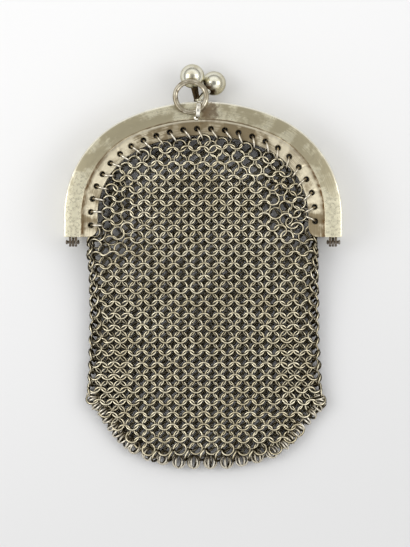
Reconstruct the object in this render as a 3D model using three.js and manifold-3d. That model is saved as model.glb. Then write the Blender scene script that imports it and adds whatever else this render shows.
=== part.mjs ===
// A small silver coin purse of ring mesh on a hinged, arched frame with a kissing ball clasp.
// It lies flat on its back: +X is to the right, +Y towards the clasp, +Z up, in millimetres.
// The frame is two stamped half shells, hinged at the feet of their legs. Each has a row of holes
// in its inner flange, and the rim rings of the mesh bag pass through them.
import * as THREE from "three";
import { mergeVertices } from "three/addons/utils/BufferGeometryUtils.js";
import Module from "manifold-3d";

const wasm = await Module();
wasm.setup();

// Frame outline: a three-centred arch on two short straight legs, drawn at its outer edge. Each
// shoulder turns through SHOULDER_SWEEP degrees, and the flatter crown joins the two.
const ARCH_HALF_WIDTH = 35.0;
const SHOULDER_RADIUS = 27.0;
const SHOULDER_SWEEP = 65.8;
const LEG_LENGTH = 5.3;

// Section of one frame half.
const HALF_DEPTH = 5.5;
const PARTING_GAP = 0.2;
const SHEET = 0.8;
const BAND_WIDTH = 4.4;
const FLANGE_WIDTH = 4.0;
const STEP_DEPTH = 1.4;
const EDGE_CHAMFER = 0.4;
const FLANGE_CORNER = 2.2;

// Row of holes in each flange, and the rim rings that pass through them.
const HOLE_COUNT = 25;
const HOLE_RADIUS = 0.68;
const HOLE_FROM_EDGE = 1.65;
const LAST_HOLE_HEIGHT = 2.4;
const RING_RADIUS = 1.5;
const RING_WIRE_RADIUS = 0.25;

// Hinges at the feet of the legs.
const HINGE_CLEARANCE = 0.15;
const KNUCKLE_RADIUS = 1.15;
const KNUCKLE_LENGTH = 0.58;
const KNUCKLE_GAP = 0.14;
const KNUCKLE_INSET = 1.2;
const PIN_RADIUS = 0.38;
const PIN_CLEARANCE = 0.14;
const PIN_HEAD_RADIUS = 0.6;
const PIN_HEAD_LENGTH = 0.45;
const PIN_STAND_OUT = 0.4;

// Clasp: two balls that snap past each other. The left one stands on the back half and leans to the
// front, the right one stands on the front half and leans to the back. A tenon holds each arm.
const BALL_RADIUS = 3.05;
const BALL_SPREAD = 2.72;
const BALL_GAP = 0.3;
const LEFT_BALL_HEIGHT = 6.5;
const RIGHT_BALL_HEIGHT = 4.8;
const LEFT_ARM_FOOT = -1.45;
const RIGHT_ARM_FOOT = -1.05;
const ARM_FOOT_RADIUS = 0.7;
const ARM_TIP_RADIUS = 1.05;
const COLLAR_RADIUS = 0.9;
const COLLAR_HEIGHT = 0.4;
const TENON_RADIUS = 0.45;
const RIVET_CLEARANCE = 0.28;
const RIVET_HEAD_RADIUS = 0.9;
const RIVET_HEAD_HEIGHT = 0.45;

// Carrying ring, and the staple for it, which is soldered on the front band.
const CARRY_RING_RADIUS = 3.9;
const CARRY_WIRE_RADIUS = 0.55;
const CARRY_RING_SWING = 119;
const CARRY_RING_TILT = 8;
const CARRY_RING_LIFT = 0.3;
const STAPLE_OFFSET = -1.2;
const STAPLE_MARGIN = 0.1;
const STAPLE_THICKNESS = 0.5;
const STAPLE_WIDTH = 1.1;
const STAPLE_CLEARANCE = 0.65;
const STAPLE_TURN = 4;

// Bag of ring mesh.
const BAG_LENGTH = 58.7;
const BAG_INSET = 5.6;
const MESH_THICKNESS = 1.6;
const RIM_GAP = 0.35;
const SHEET_SAG = 0.6;

// Sections of the bag below the hinge. drop is a share of BAG_LENGTH, left and right are shares of
// its half width, room is the thickness of the inner space as a share of that at the frame, and
// edge is the share of its thickness that the section keeps at its sides. lift and sag are shares
// of the rim's height above the ground and of SHEET_SAG.
const BAG_SECTIONS = [
  { drop: 0.015, left: 0.955, right: 0.955, room: 1, edge: 0.8, lift: 0.7, sag: 1 },
  { drop: 0.06, left: 0.995, right: 0.99, room: 0.93, edge: 0.55, lift: 0, sag: 0 },
  { drop: 0.16, left: 0.975, right: 0.985, room: 0.72, edge: 0.38, lift: 0, sag: 0 },
  { drop: 0.34, left: 0.97, right: 0.99, room: 0.42, edge: 0.32, lift: 0, sag: 0 },
  { drop: 0.52, left: 0.98, right: 1.0, room: 0.24, edge: 0.32, lift: 0, sag: 0 },
  { drop: 0.66, left: 1.0, right: 1.025, room: 0.17, edge: 0.35, lift: 0, sag: 0 },
  { drop: 0.705, left: 1.01, right: 1.07, room: 0.16, edge: 0.4, lift: 0, sag: 0 },
  { drop: 0.735, left: 0.97, right: 1.045, room: 0.15, edge: 0.4, lift: 0, sag: 0 },
  { drop: 0.775, left: 0.895, right: 0.985, room: 0.15, edge: 0.4, lift: 0, sag: 0 },
  { drop: 0.825, left: 0.835, right: 0.895, room: 0.14, edge: 0.4, lift: 0, sag: 0 },
  { drop: 0.88, left: 0.75, right: 0.81, room: 0.14, edge: 0.4, lift: 0, sag: 0 },
  { drop: 0.92, left: 0.66, right: 0.725, room: 0.13, edge: 0.4, lift: 0, sag: 0 },
  { drop: 0.955, left: 0.54, right: 0.61, room: 0.13, edge: 0.45, lift: 0, sag: 0 },
  { drop: 0.98, left: 0.38, right: 0.45, room: 0.12, edge: 0.5, lift: 0, sag: 0 },
  { drop: 1.0, left: 0.2, right: 0.24, room: 0.12, edge: 0.6, lift: 0, sag: 0 },
];

// Facets of the round forms.
const CROWN_STEPS = 3;
const CROWN_CORNER = 0.04;
const SHOULDER_STEPS = 7;
const CORNER_STEPS = 3;
const OUTER_STEPS = 6;
const INNER_STEPS = 4;
const HOLE_SIDES = 6;
const BOW_STEPS = 8;
const RING_SIDES = 10;
const WIRE_SIDES = 5;
const CARRY_RING_SIDES = 20;
const CARRY_WIRE_SIDES = 8;
const TURNED_SIDES = 10;
const BALL_SIDES = 14;
const BALL_RINGS = 9;

// Sizes that follow from those above.
const TOTAL_DEPTH = 2 * HALF_DEPTH + PARTING_GAP;
const PARTING_HEIGHT = TOTAL_DEPTH / 2;
const CROWN_ANGLE = THREE.MathUtils.degToRad(SHOULDER_SWEEP);
const SHOULDER_CENTRE = new THREE.Vector2(ARCH_HALF_WIDTH - SHOULDER_RADIUS, LEG_LENGTH);
const CROWN_RADIUS = SHOULDER_RADIUS + SHOULDER_CENTRE.x / Math.cos(CROWN_ANGLE);
const CROWN_CENTRE = new THREE.Vector2(
  0,
  LEG_LENGTH - (CROWN_RADIUS - SHOULDER_RADIUS) * Math.sin(CROWN_ANGLE),
);
const ARCH_TOP = CROWN_CENTRE.y + CROWN_RADIUS;
const FRAME_WIDTH = BAND_WIDTH + FLANGE_WIDTH;
const HOLE_INSET = FRAME_WIDTH - HOLE_FROM_EDGE;
const FLANGE_MIDDLE = STEP_DEPTH + SHEET / 2;
const HINGE_DROP = KNUCKLE_RADIUS + HINGE_CLEARANCE;
const BAG_HALF_WIDTH = ARCH_HALF_WIDTH - BAG_INSET;
const RIM_HEIGHT = FLANGE_MIDDLE - MESH_THICKNESS / 2;
const RIM_ROOM = TOTAL_DEPTH - 2 * FLANGE_MIDDLE - MESH_THICKNESS;

// A point of the arch's right side, seen from the front, with its inward normal. angle runs from
// a quarter turn at the crown to 0 where the leg begins, and drop goes down the leg from there.
function archPoint(angle, drop, inset) {
  const onCrown = angle > CROWN_ANGLE;
  const centre = onCrown ? CROWN_CENTRE : SHOULDER_CENTRE;
  const radius = (onCrown ? CROWN_RADIUS : SHOULDER_RADIUS) - inset;
  return {
    x: centre.x + radius * Math.cos(angle),
    y: centre.y + radius * Math.sin(angle) - drop,
    inward: new THREE.Vector2(-Math.cos(angle), -Math.sin(angle)),
  };
}

// A point at a signed distance from the crown's middle, measured along the arch at that inset.
function archPointAlong(distance, inset) {
  const crownLength = (CROWN_RADIUS - inset) * (Math.PI / 2 - CROWN_ANGLE);
  const shoulderLength = (SHOULDER_RADIUS - inset) * CROWN_ANGLE;
  const length = Math.abs(distance);
  let point;
  if (length < crownLength) {
    point = archPoint(Math.PI / 2 - length / (CROWN_RADIUS - inset), 0, inset);
  } else {
    const past = Math.min(length - crownLength, shoulderLength);
    const drop = Math.max(length - crownLength - shoulderLength, 0);
    point = archPoint(CROWN_ANGLE - past / (SHOULDER_RADIUS - inset), drop, inset);
  }
  return distance < 0 ? mirrored(point) : point;
}

function mirrored(point) {
  return { ...point, x: -point.x, inward: new THREE.Vector2(-point.inward.x, point.inward.y) };
}

// Stations down the right side of the arch, from the crown's middle to the leg's foot.
function archStations() {
  const stations = [];
  for (let i = 0; i <= CROWN_STEPS; i++) {
    const share = i / CROWN_STEPS;
    stations.push({ angle: Math.PI / 2 + (CROWN_ANGLE - Math.PI / 2) * share, drop: 0 });
  }
  for (let i = 1; i <= SHOULDER_STEPS; i++) {
    stations.push({ angle: CROWN_ANGLE * (1 - i / SHOULDER_STEPS), drop: 0 });
  }
  for (let i = 0; i <= CORNER_STEPS; i++) {
    const share = 1 - Math.sin((Math.PI / 2) * (i / CORNER_STEPS));
    stations.push({ angle: 0, drop: LEG_LENGTH - share * FLANGE_CORNER });
  }
  return stations;
}

// Closed solid through a row of sections with as many points each, which turn the same way.
function loft(sections) {
  const positions = sections.flat().flatMap((p) => [p.x, p.y, p.z]);
  const count = sections[0].length;
  const indices = [];
  for (let s = 0; s + 1 < sections.length; s++) {
    for (let i = 0; i < count; i++) {
      const a = s * count + i;
      const b = s * count + ((i + 1) % count);
      indices.push(a, b, b + count, a, b + count, a + count);
    }
  }
  const last = (sections.length - 1) * count;
  for (const [start, section, flip] of [[0, sections[0], true], [last, sections.at(-1), false]]) {
    for (const [a, b, c] of capTriangles(section)) {
      indices.push(start + a, start + (flip ? c : b), start + (flip ? b : c));
    }
  }
  const geometry = new THREE.BufferGeometry();
  geometry.setAttribute("position", new THREE.Float32BufferAttribute(positions, 3));
  geometry.setIndex(indices);
  return solidOf(geometry);
}

// Triangles of a flat end, numbered by its points. They turn the way the section does.
function capTriangles(section) {
  const normal = new THREE.Vector3();
  section.forEach((p, i) => normal.add(p.clone().cross(section[(i + 1) % section.length])));
  normal.normalize();
  const across = section[1].clone().sub(section[0]).normalize();
  const up = normal.clone().cross(across);
  const flat = section.map((p) => new THREE.Vector2(p.dot(across), p.dot(up)));
  return THREE.ShapeUtils.triangulateShape(flat, []);
}

// Solid of a closed geometry, turned the right way out.
function solidOf(geometry) {
  const bare = geometry.clone();
  bare.deleteAttribute("normal");
  bare.deleteAttribute("uv");
  const merged = mergeVertices(bare, 1e-4);
  const vertProperties = new Float32Array(merged.attributes.position.array);
  const triVerts = new Uint32Array(merged.index.array);
  const solid = new wasm.Manifold(new wasm.Mesh({ numProp: 3, vertProperties, triVerts }));
  if (solid.volume() >= 0) return solid;
  return new wasm.Manifold(
    new wasm.Mesh({ numProp: 3, vertProperties, triVerts: triVerts.reverse() }),
  );
}

function meshOf(name, solid, material) {
  const result = solid.getMesh();
  const geometry = new THREE.BufferGeometry();
  geometry.setAttribute("position", new THREE.Float32BufferAttribute(result.vertProperties, 3));
  geometry.setIndex(new THREE.Uint32BufferAttribute(result.triVerts, 1));
  geometry.computeVertexNormals();
  const mesh = new THREE.Mesh(geometry, material);
  mesh.name = name;
  return mesh;
}

function placed(geometry, matrix) {
  return solidOf(geometry.clone().applyMatrix4(matrix));
}

function join(solids) {
  return solids.reduce((sum, solid) => sum.add(solid));
}

function box(lowX, highX, lowY, highY, lowZ, highZ) {
  const centre = [(lowX + highX) / 2, (lowY + highY) / 2, (lowZ + highZ) / 2];
  return placed(
    new THREE.BoxGeometry(highX - lowX, highY - lowY, highZ - lowZ),
    new THREE.Matrix4().makeTranslation(...centre),
  );
}

// Round bar between two points, with a radius at each.
function bar(from, to, fromRadius, toRadius, sides) {
  const axis = to.clone().sub(from);
  const turn = new THREE.Quaternion().setFromUnitVectors(
    new THREE.Vector3(0, 1, 0),
    axis.clone().normalize(),
  );
  const middle = from.clone().add(to).multiplyScalar(0.5);
  return placed(
    new THREE.CylinderGeometry(toRadius, fromRadius, axis.length(), sides),
    new THREE.Matrix4().compose(middle, turn, new THREE.Vector3(1, 1, 1)),
  );
}

// Turns a depth from a half's own outer face into a height above the ground.
function heightOf(depth, isFront) {
  return isFront ? TOTAL_DEPTH - depth : depth;
}

// Width of the flange at a height above the leg's foot, where its inner corner is rounded off.
function flangeWidthAt(height) {
  const left = Math.max(FLANGE_CORNER - height, 0);
  return FLANGE_WIDTH - FLANGE_CORNER + Math.sqrt(FLANGE_CORNER ** 2 - left ** 2);
}

// Section of a half shell: outer wall, band, step and flange, as inset and depth from its face.
function shellSection(station, side, isFront) {
  const height = archPoint(station.angle, station.drop, 0).y;
  const inner = BAND_WIDTH + flangeWidthAt(height);
  const profile = [
    [0, EDGE_CHAMFER],
    [EDGE_CHAMFER, 0],
    [BAND_WIDTH, 0],
    [BAND_WIDTH, STEP_DEPTH],
    [inner, STEP_DEPTH],
    [inner, STEP_DEPTH + SHEET],
    [BAND_WIDTH - SHEET, STEP_DEPTH + SHEET],
    [BAND_WIDTH - SHEET, SHEET],
    [SHEET, SHEET],
    [SHEET, HALF_DEPTH],
    [0, HALF_DEPTH],
  ];
  return profile.map(([inset, depth]) => {
    const point = archPoint(station.angle, station.drop, inset);
    return new THREE.Vector3(side * point.x, point.y, heightOf(depth, isFront));
  });
}

function holePoints() {
  const crown = (CROWN_RADIUS - HOLE_INSET) * (Math.PI / 2 - CROWN_ANGLE);
  const shoulder = (SHOULDER_RADIUS - HOLE_INSET) * CROWN_ANGLE;
  const reach = crown + shoulder + LEG_LENGTH - LAST_HOLE_HEIGHT;
  const points = [];
  for (let i = 0; i < HOLE_COUNT; i++) {
    points.push(archPointAlong(-reach + (2 * reach * i) / (HOLE_COUNT - 1), HOLE_INSET));
  }
  return points;
}

// Where the knuckles of a hinge lie along its pin, on the right-hand leg.
function knuckleSpan(index) {
  const start = ARCH_HALF_WIDTH - KNUCKLE_INSET - index * (KNUCKLE_LENGTH + KNUCKLE_GAP);
  return [start - KNUCKLE_LENGTH, start];
}

function knuckle(side, index, isFront) {
  const [low, high] = knuckleSpan(index).map((x) => side * x).sort((a, b) => a - b);
  const barrel = bar(
    new THREE.Vector3(low, -HINGE_DROP, PARTING_HEIGHT),
    new THREE.Vector3(high, -HINGE_DROP, PARTING_HEIGHT),
    KNUCKLE_RADIUS,
    KNUCKLE_RADIUS,
    TURNED_SIDES,
  );
  const near = heightOf(HALF_DEPTH, isFront);
  const far = heightOf(PARTING_HEIGHT - KNUCKLE_RADIUS, isFront);
  const neck = box(low, high, -HINGE_DROP, SHEET / 2, Math.min(near, far), Math.max(near, far));
  return barrel.add(neck);
}

// Closes the foot of one leg, and carries the knuckles.
function footPlate(side, isFront) {
  const [low, high] = [side * ARCH_HALF_WIDTH, side * (ARCH_HALF_WIDTH - BAND_WIDTH)].sort(
    (a, b) => a - b,
  );
  const near = heightOf(HALF_DEPTH, isFront);
  const far = heightOf(EDGE_CHAMFER, isFront);
  return box(low, high, 0, SHEET, Math.min(near, far), Math.max(near, far));
}

function pinBore(side) {
  const reach = ARCH_HALF_WIDTH;
  const bore = PIN_RADIUS + PIN_CLEARANCE;
  return bar(
    new THREE.Vector3(side * (reach - BAND_WIDTH), -HINGE_DROP, PARTING_HEIGHT),
    new THREE.Vector3(side * (reach + 1), -HINGE_DROP, PARTING_HEIGHT),
    bore,
    bore,
    TURNED_SIDES,
  );
}

// Height of the arch's outer edge over the crown, at a distance from its middle.
function crownEdge(x) {
  return CROWN_CENTRE.y + Math.sqrt(CROWN_RADIUS ** 2 - x ** 2);
}

// Where an arm stands on the outer wall of its half.
function armFoot(isFront) {
  const x = isFront ? RIGHT_ARM_FOOT : LEFT_ARM_FOOT;
  return new THREE.Vector3(x, crownEdge(x), heightOf((HALF_DEPTH + SHEET) / 2, isFront));
}

function rivetHole(isFront) {
  const foot = armFoot(isFront);
  const radius = TENON_RADIUS + RIVET_CLEARANCE;
  const up = new THREE.Vector3(0, 1, 0);
  return bar(
    foot.clone().addScaledVector(up, -2 * SHEET),
    foot.clone().addScaledVector(up, SHEET),
    radius,
    radius,
    HOLE_SIDES,
  );
}

// Middle of the staple, where the carrying ring passes under it, on the band's face.
function stapleMiddle() {
  const edge = crownEdge(STAPLE_OFFSET);
  return new THREE.Vector3(STAPLE_OFFSET, edge - BAND_WIDTH / 2, TOTAL_DEPTH);
}

// Height of the carrying ring's centre line over the band, at a height along the purse.
function ringHeight(y) {
  const tilt = THREE.MathUtils.degToRad(CARRY_RING_TILT);
  const lift = (CARRY_WIRE_RADIUS + CARRY_RING_LIFT) / Math.cos(tilt);
  return lift + (ARCH_TOP - y) * Math.tan(tilt);
}

// Staple for the carrying ring: a flat strip bent to a round bow, whose feet sink into the band.
function ringStaple() {
  const middle = stapleMiddle();
  const outer = BAND_WIDTH / 2 - STAPLE_MARGIN;
  const inner = outer - STAPLE_THICKNESS;
  const leg = ringHeight(middle.y) + CARRY_WIRE_RADIUS + STAPLE_CLEARANCE - inner;
  const strip = new THREE.Shape();
  strip.moveTo(outer, -SHEET / 2);
  strip.lineTo(outer, leg);
  strip.absarc(0, leg, outer, 0, Math.PI, false);
  strip.lineTo(-outer, -SHEET / 2);
  strip.lineTo(-inner, -SHEET / 2);
  strip.lineTo(-inner, leg);
  strip.absarc(0, leg, inner, Math.PI, 0, true);
  strip.lineTo(inner, -SHEET / 2);
  const turn = THREE.MathUtils.degToRad(STAPLE_TURN);
  const up = new THREE.Vector3(0, 0, 1);
  const along = new THREE.Vector3(Math.sin(turn), Math.cos(turn), 0);
  const across = along.clone().cross(up);
  middle.addScaledVector(across, -STAPLE_WIDTH / 2);
  return placed(
    new THREE.ExtrudeGeometry(strip, {
      depth: STAPLE_WIDTH,
      bevelEnabled: false,
      curveSegments: BOW_STEPS,
    }),
    new THREE.Matrix4().makeBasis(along, up, across).setPosition(middle),
  );
}

function frameHalf(isFront) {
  const right = archStations();
  const left = right.slice(1).reverse();
  const sections = [
    ...left.map((station) => shellSection(station, -1, isFront)),
    ...right.map((station) => shellSection(station, 1, isFront)),
  ];
  let half = loft(sections);
  for (const side of [-1, 1]) {
    half = half.add(footPlate(side, isFront));
    for (const index of isFront ? [0, 2] : [1]) half = half.add(knuckle(side, index, isFront));
    half = half.subtract(pinBore(side));
  }
  const middle = heightOf(FLANGE_MIDDLE, isFront);
  const holes = holePoints().map((point) =>
    placed(
      new THREE.CylinderGeometry(HOLE_RADIUS, HOLE_RADIUS, 2 * SHEET, HOLE_SIDES),
      new THREE.Matrix4()
        .makeRotationX(Math.PI / 2)
        .setPosition(point.x, point.y, middle),
    ),
  );
  const drilled = half.subtract(join([...holes, rivetHole(isFront)]));
  return isFront ? drilled.add(ringStaple()) : drilled;
}

function hingePin(side) {
  const outer = ARCH_HALF_WIDTH - KNUCKLE_INSET + PIN_STAND_OUT;
  const inner = knuckleSpan(2)[0] - KNUCKLE_GAP;
  const rod = (from, to, radius) =>
    bar(
      new THREE.Vector3(side * from, -HINGE_DROP, PARTING_HEIGHT),
      new THREE.Vector3(side * to, -HINGE_DROP, PARTING_HEIGHT),
      radius,
      radius,
      TURNED_SIDES,
    );
  return join([
    rod(inner, outer, PIN_RADIUS),
    rod(outer, outer + PIN_HEAD_LENGTH, PIN_HEAD_RADIUS),
    rod(inner - PIN_HEAD_LENGTH, inner, PIN_HEAD_RADIUS),
  ]);
}

// Centre of the ball that stands on one half. The two balls lie side by side, and as far over each
// other as their gap asks.
function ballCentre(isFront) {
  const rise = LEFT_BALL_HEIGHT - RIGHT_BALL_HEIGHT;
  const apart = 2 * BALL_RADIUS + BALL_GAP;
  const over = Math.sqrt(Math.max(apart ** 2 - (2 * BALL_SPREAD) ** 2 - rise ** 2, 0)) / 2;
  return new THREE.Vector3(
    isFront ? BALL_SPREAD : -BALL_SPREAD,
    ARCH_TOP + (isFront ? RIGHT_BALL_HEIGHT : LEFT_BALL_HEIGHT),
    PARTING_HEIGHT + (isFront ? -over : over),
  );
}

function claspBall(isFront) {
  const foot = armFoot(isFront);
  const centre = ballCentre(isFront);
  const up = new THREE.Vector3(0, 1, 0);
  const at = (height) => foot.clone().addScaledVector(up, height);
  const inside = -SHEET - RIVET_CLEARANCE;
  const collarFoot = at(RIVET_CLEARANCE);
  const collarTop = at(RIVET_CLEARANCE + COLLAR_HEIGHT);
  const ball = placed(
    new THREE.SphereGeometry(BALL_RADIUS, BALL_SIDES, BALL_RINGS),
    new THREE.Matrix4().setPosition(centre),
  );
  const reach = 2 * ARM_TIP_RADIUS;
  const underCollar = box(
    foot.x - reach,
    foot.x + reach,
    foot.y - reach,
    collarFoot.y,
    foot.z - reach,
    foot.z + reach,
  );
  const arm = bar(foot, centre, ARM_FOOT_RADIUS, ARM_TIP_RADIUS, TURNED_SIDES);
  return join([
    ball,
    arm.subtract(underCollar),
    bar(collarFoot, collarTop, COLLAR_RADIUS, COLLAR_RADIUS, TURNED_SIDES),
    bar(at(inside), collarFoot, TENON_RADIUS, TENON_RADIUS, HOLE_SIDES),
    bar(
      at(inside - RIVET_HEAD_HEIGHT),
      at(inside),
      RIVET_HEAD_RADIUS,
      RIVET_HEAD_RADIUS,
      TURNED_SIDES,
    ),
  ]);
}

// The carrying ring passes through the staple and leans on the band's outer edge, with its top end
// lower, towards the ball. CARRY_RING_SWING turns it round the staple.
function carryRing() {
  const tilt = THREE.MathUtils.degToRad(CARRY_RING_TILT);
  const swing = THREE.MathUtils.degToRad(CARRY_RING_SWING);
  const centre = stapleMiddle();
  centre.x += CARRY_RING_RADIUS * Math.cos(swing);
  centre.y += CARRY_RING_RADIUS * Math.sin(swing) * Math.cos(tilt);
  centre.z += ringHeight(centre.y);
  return placed(
    new THREE.TorusGeometry(
      CARRY_RING_RADIUS,
      CARRY_WIRE_RADIUS,
      CARRY_WIRE_SIDES,
      CARRY_RING_SIDES,
    ),
    new THREE.Matrix4().makeRotationX(-tilt).setPosition(centre),
  );
}

// Closed section of the bag at one y, between two widths and two heights. edge is the share of the
// thickness that its sides keep, and sag is how far the middle hangs below the sides.
function bagSection({ y, left, right, low, high, edge, sag }, steps) {
  const middle = (low + high) / 2;
  const half = (high - low) / 2;
  const upper = [];
  const lower = [];
  for (let i = 0; i <= steps; i++) {
    const t = -Math.cos((Math.PI * i) / steps);
    const x = t < 0 ? t * left : t * right;
    const round = edge + (1 - edge) * (1 - Math.abs(t) ** 6) ** (1 / 3);
    const hang = sag * (1 - t * t);
    upper.push(new THREE.Vector3(x, y, middle + half * round - hang));
    lower.push(new THREE.Vector3(x, y, middle - half * round - hang));
  }
  return [...lower, ...upper.reverse()];
}

// Sections of the bag's outer form, or of its inner space, from the crown down to the bottom. The
// inner space spills over the rim, so that the front and back sheets part there.
function bagSections(isInner) {
  const wall = isInner ? MESH_THICKNESS : 0;
  const spill = isInner ? FRAME_WIDTH / 2 : 0;
  const inset = FRAME_WIDTH + RIM_GAP;
  const rim = archStations().map((station) => archPoint(station.angle, station.drop, inset));
  rim[0] = archPoint(Math.PI / 2 - CROWN_CORNER, 0, inset);
  const inFrame = rim.map((point) => {
    const rise = point.y / rim[0].y;
    return {
      y: point.y + spill * rise,
      left: point.x + spill,
      right: point.x + spill,
      low: RIM_HEIGHT + wall,
      high: TOTAL_DEPTH - RIM_HEIGHT - wall,
      edge: 1,
      sag: SHEET_SAG * (1 - rise ** 2),
    };
  });
  const below = BAG_SECTIONS.map((row) => ({
    y: (wall - BAG_LENGTH) * row.drop,
    left: row.left * BAG_HALF_WIDTH - wall,
    right: row.right * BAG_HALF_WIDTH - wall,
    low: row.lift * RIM_HEIGHT + wall,
    high: row.lift * RIM_HEIGHT + row.room * RIM_ROOM + 2 * MESH_THICKNESS - wall,
    edge: row.edge,
    sag: row.sag * SHEET_SAG,
  }));
  const steps = isInner ? INNER_STEPS : OUTER_STEPS;
  return [...inFrame, ...below].map((section) => bagSection(section, steps));
}

// Rim rings of one sheet: each stands upright in its hole and bites into the sheet's edge.
function rimRings(isFront) {
  const up = new THREE.Vector3(0, 0, 1);
  return holePoints().map((point) => {
    const inward = new THREE.Vector3(point.inward.x, point.inward.y, 0);
    const centre = new THREE.Vector3(point.x, point.y, heightOf(FLANGE_MIDDLE, isFront));
    centre.addScaledVector(inward, RING_RADIUS);
    return placed(
      new THREE.TorusGeometry(RING_RADIUS, RING_WIRE_RADIUS, WIRE_SIDES, RING_SIDES),
      new THREE.Matrix4().makeBasis(inward, up, inward.clone().cross(up)).setPosition(centre),
    );
  });
}

function meshBag() {
  const walls = loft(bagSections(false)).subtract(loft(bagSections(true)));
  return join([walls, ...rimRings(true), ...rimRings(false)]);
}

const frameSilver = new THREE.MeshStandardMaterial({
  color: 0xb3ac94,
  roughness: 0.38,
  metalness: 1,
});
const ballSilver = new THREE.MeshStandardMaterial({
  color: 0xc4bfae,
  roughness: 0.22,
  metalness: 1,
});
const meshSilver = new THREE.MeshStandardMaterial({
  color: 0x8f8a7c,
  roughness: 0.42,
  metalness: 1,
});
const pinSteel = new THREE.MeshStandardMaterial({
  color: 0x6a6460,
  roughness: 0.5,
  metalness: 1,
});

const purse = new THREE.Group();
purse.name = "coin_purse";
purse.add(
  meshOf("front_frame", frameHalf(true), frameSilver),
  meshOf("back_frame", frameHalf(false), frameSilver),
  meshOf("left_clasp_ball", claspBall(false), ballSilver),
  meshOf("right_clasp_ball", claspBall(true), ballSilver),
  meshOf("carry_ring", carryRing(), frameSilver),
  meshOf("left_hinge_pin", hingePin(-1), pinSteel),
  meshOf("right_hinge_pin", hingePin(1), pinSteel),
  meshOf("mesh_bag", meshBag(), meshSilver),
);

// The part's origin is under the middle of the whole purse, on the surface that it lies on.
const extent = new THREE.Box3().setFromObject(purse);
const middle = extent.getCenter(new THREE.Vector3());
purse.position.set(-middle.x, -middle.y, -extent.min.z);

export default purse;
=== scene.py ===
"""Looks of a small silver coin purse: ring mesh on a hinged, arched frame with a kissing ball clasp.

The purse lies flat on its back and is seen from straight above. Shapes are drawn in millimetres
about the middle of the line between the frame's feet, and Drawing turns them into the row frame.
"""

import logging
import math
from dataclasses import astuple, dataclass, field
from enum import Enum
from functools import lru_cache
from typing import Callable, Mapping, Sequence

import bmesh
import bpy
import numpy as np
from mathutils import Matrix, Vector, noise

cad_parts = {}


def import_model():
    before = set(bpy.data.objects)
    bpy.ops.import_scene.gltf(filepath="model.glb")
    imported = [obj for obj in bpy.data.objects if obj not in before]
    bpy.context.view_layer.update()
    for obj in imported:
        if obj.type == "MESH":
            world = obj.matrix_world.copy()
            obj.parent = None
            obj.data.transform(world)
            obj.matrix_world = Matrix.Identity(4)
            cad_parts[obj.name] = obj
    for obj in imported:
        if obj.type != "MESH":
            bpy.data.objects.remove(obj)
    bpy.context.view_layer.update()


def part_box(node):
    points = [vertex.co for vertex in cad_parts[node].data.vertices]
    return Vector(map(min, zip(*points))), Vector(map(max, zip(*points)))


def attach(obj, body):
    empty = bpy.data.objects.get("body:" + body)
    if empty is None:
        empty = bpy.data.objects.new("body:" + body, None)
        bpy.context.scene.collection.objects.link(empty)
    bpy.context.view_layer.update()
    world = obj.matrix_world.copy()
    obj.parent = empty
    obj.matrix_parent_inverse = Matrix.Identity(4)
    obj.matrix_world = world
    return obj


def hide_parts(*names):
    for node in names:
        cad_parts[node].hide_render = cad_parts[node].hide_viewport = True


LOG = logging.getLogger("coin_purse")
BODY = "root"
MILLIMETRE = 0.001
NOISE_SEED = 5
Y_AXIS = Vector((0.0, 1.0, 0.0))
Z_AXIS = Vector((0.0, 0.0, 1.0))
ARCH_MAP = "arch_map"
PAINTED_SHADE_MARK = "painted_shade_mark"
FACING_OUT = "facing_out"
RING_TONE = "ring_tone"
RING_AXIS = "ring_axis"
RING_ACROSS = "ring_across"
RING_OUTWARD = "ring_outward"

Colour = tuple[float, float, float]
Outline = list[tuple[float, float]]
Node = bpy.types.Node
Socket = bpy.types.NodeSocket
Material = bpy.types.Material
Mesh = bpy.types.Mesh
Piece = bpy.types.Object
Skin = bmesh.types.BMesh


class Side(Enum):
    """The half of the purse that shows, and the half that it lies on."""

    FRONT = "front"
    BACK = "back"


class Hand(Enum):
    """The left and right of the purse as the photograph shows it."""

    LEFT = -1
    RIGHT = 1

    @property
    def inwards(self) -> Vector:
        """The way across the purse, from this side to its middle."""
        return Vector((-self.value, 0.0, 0.0))


class Lean(Enum):
    """Which end of a mesh ring stands out of the sheet. Neighbouring rows lean opposite ways."""

    BOTTOM_OUT = 1
    TOP_OUT = -1


class MeshOperation(Enum):
    """How a tool shape changes the shape that it meets."""

    JOIN = "UNION"
    CUT = "DIFFERENCE"


@dataclass(frozen=True)
class ArchSpot:
    """One place along the arch, from which points at any inset are found.

    Args:
        hand: -1 on the left of the purse and 1 on the right.
        centre: centre of the arc, in the right half's terms.
        radius: radius of the arc at the outer edge.
        angle: angle on the arc, a quarter turn at the crown and 0 at the leg.
        drop: distance down the leg.
    """

    hand: int
    centre: tuple[float, float]
    radius: float
    angle: float
    drop: float

    def point(self, inset: float) -> tuple[float, float]:
        """Finds the point at an inset.

        Args:
            inset: distance inwards from the outer edge.

        Returns:
            Its x and y.
        """
        reach = self.radius - inset
        x = self.centre[0] + reach * math.cos(self.angle)
        return self.hand * x, self.centre[1] + reach * math.sin(self.angle) - self.drop

    @property
    def inward(self) -> Vector:
        """The direction across the frame, towards the bag."""
        return Vector((-self.hand * math.cos(self.angle), -math.sin(self.angle), 0.0))


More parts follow.
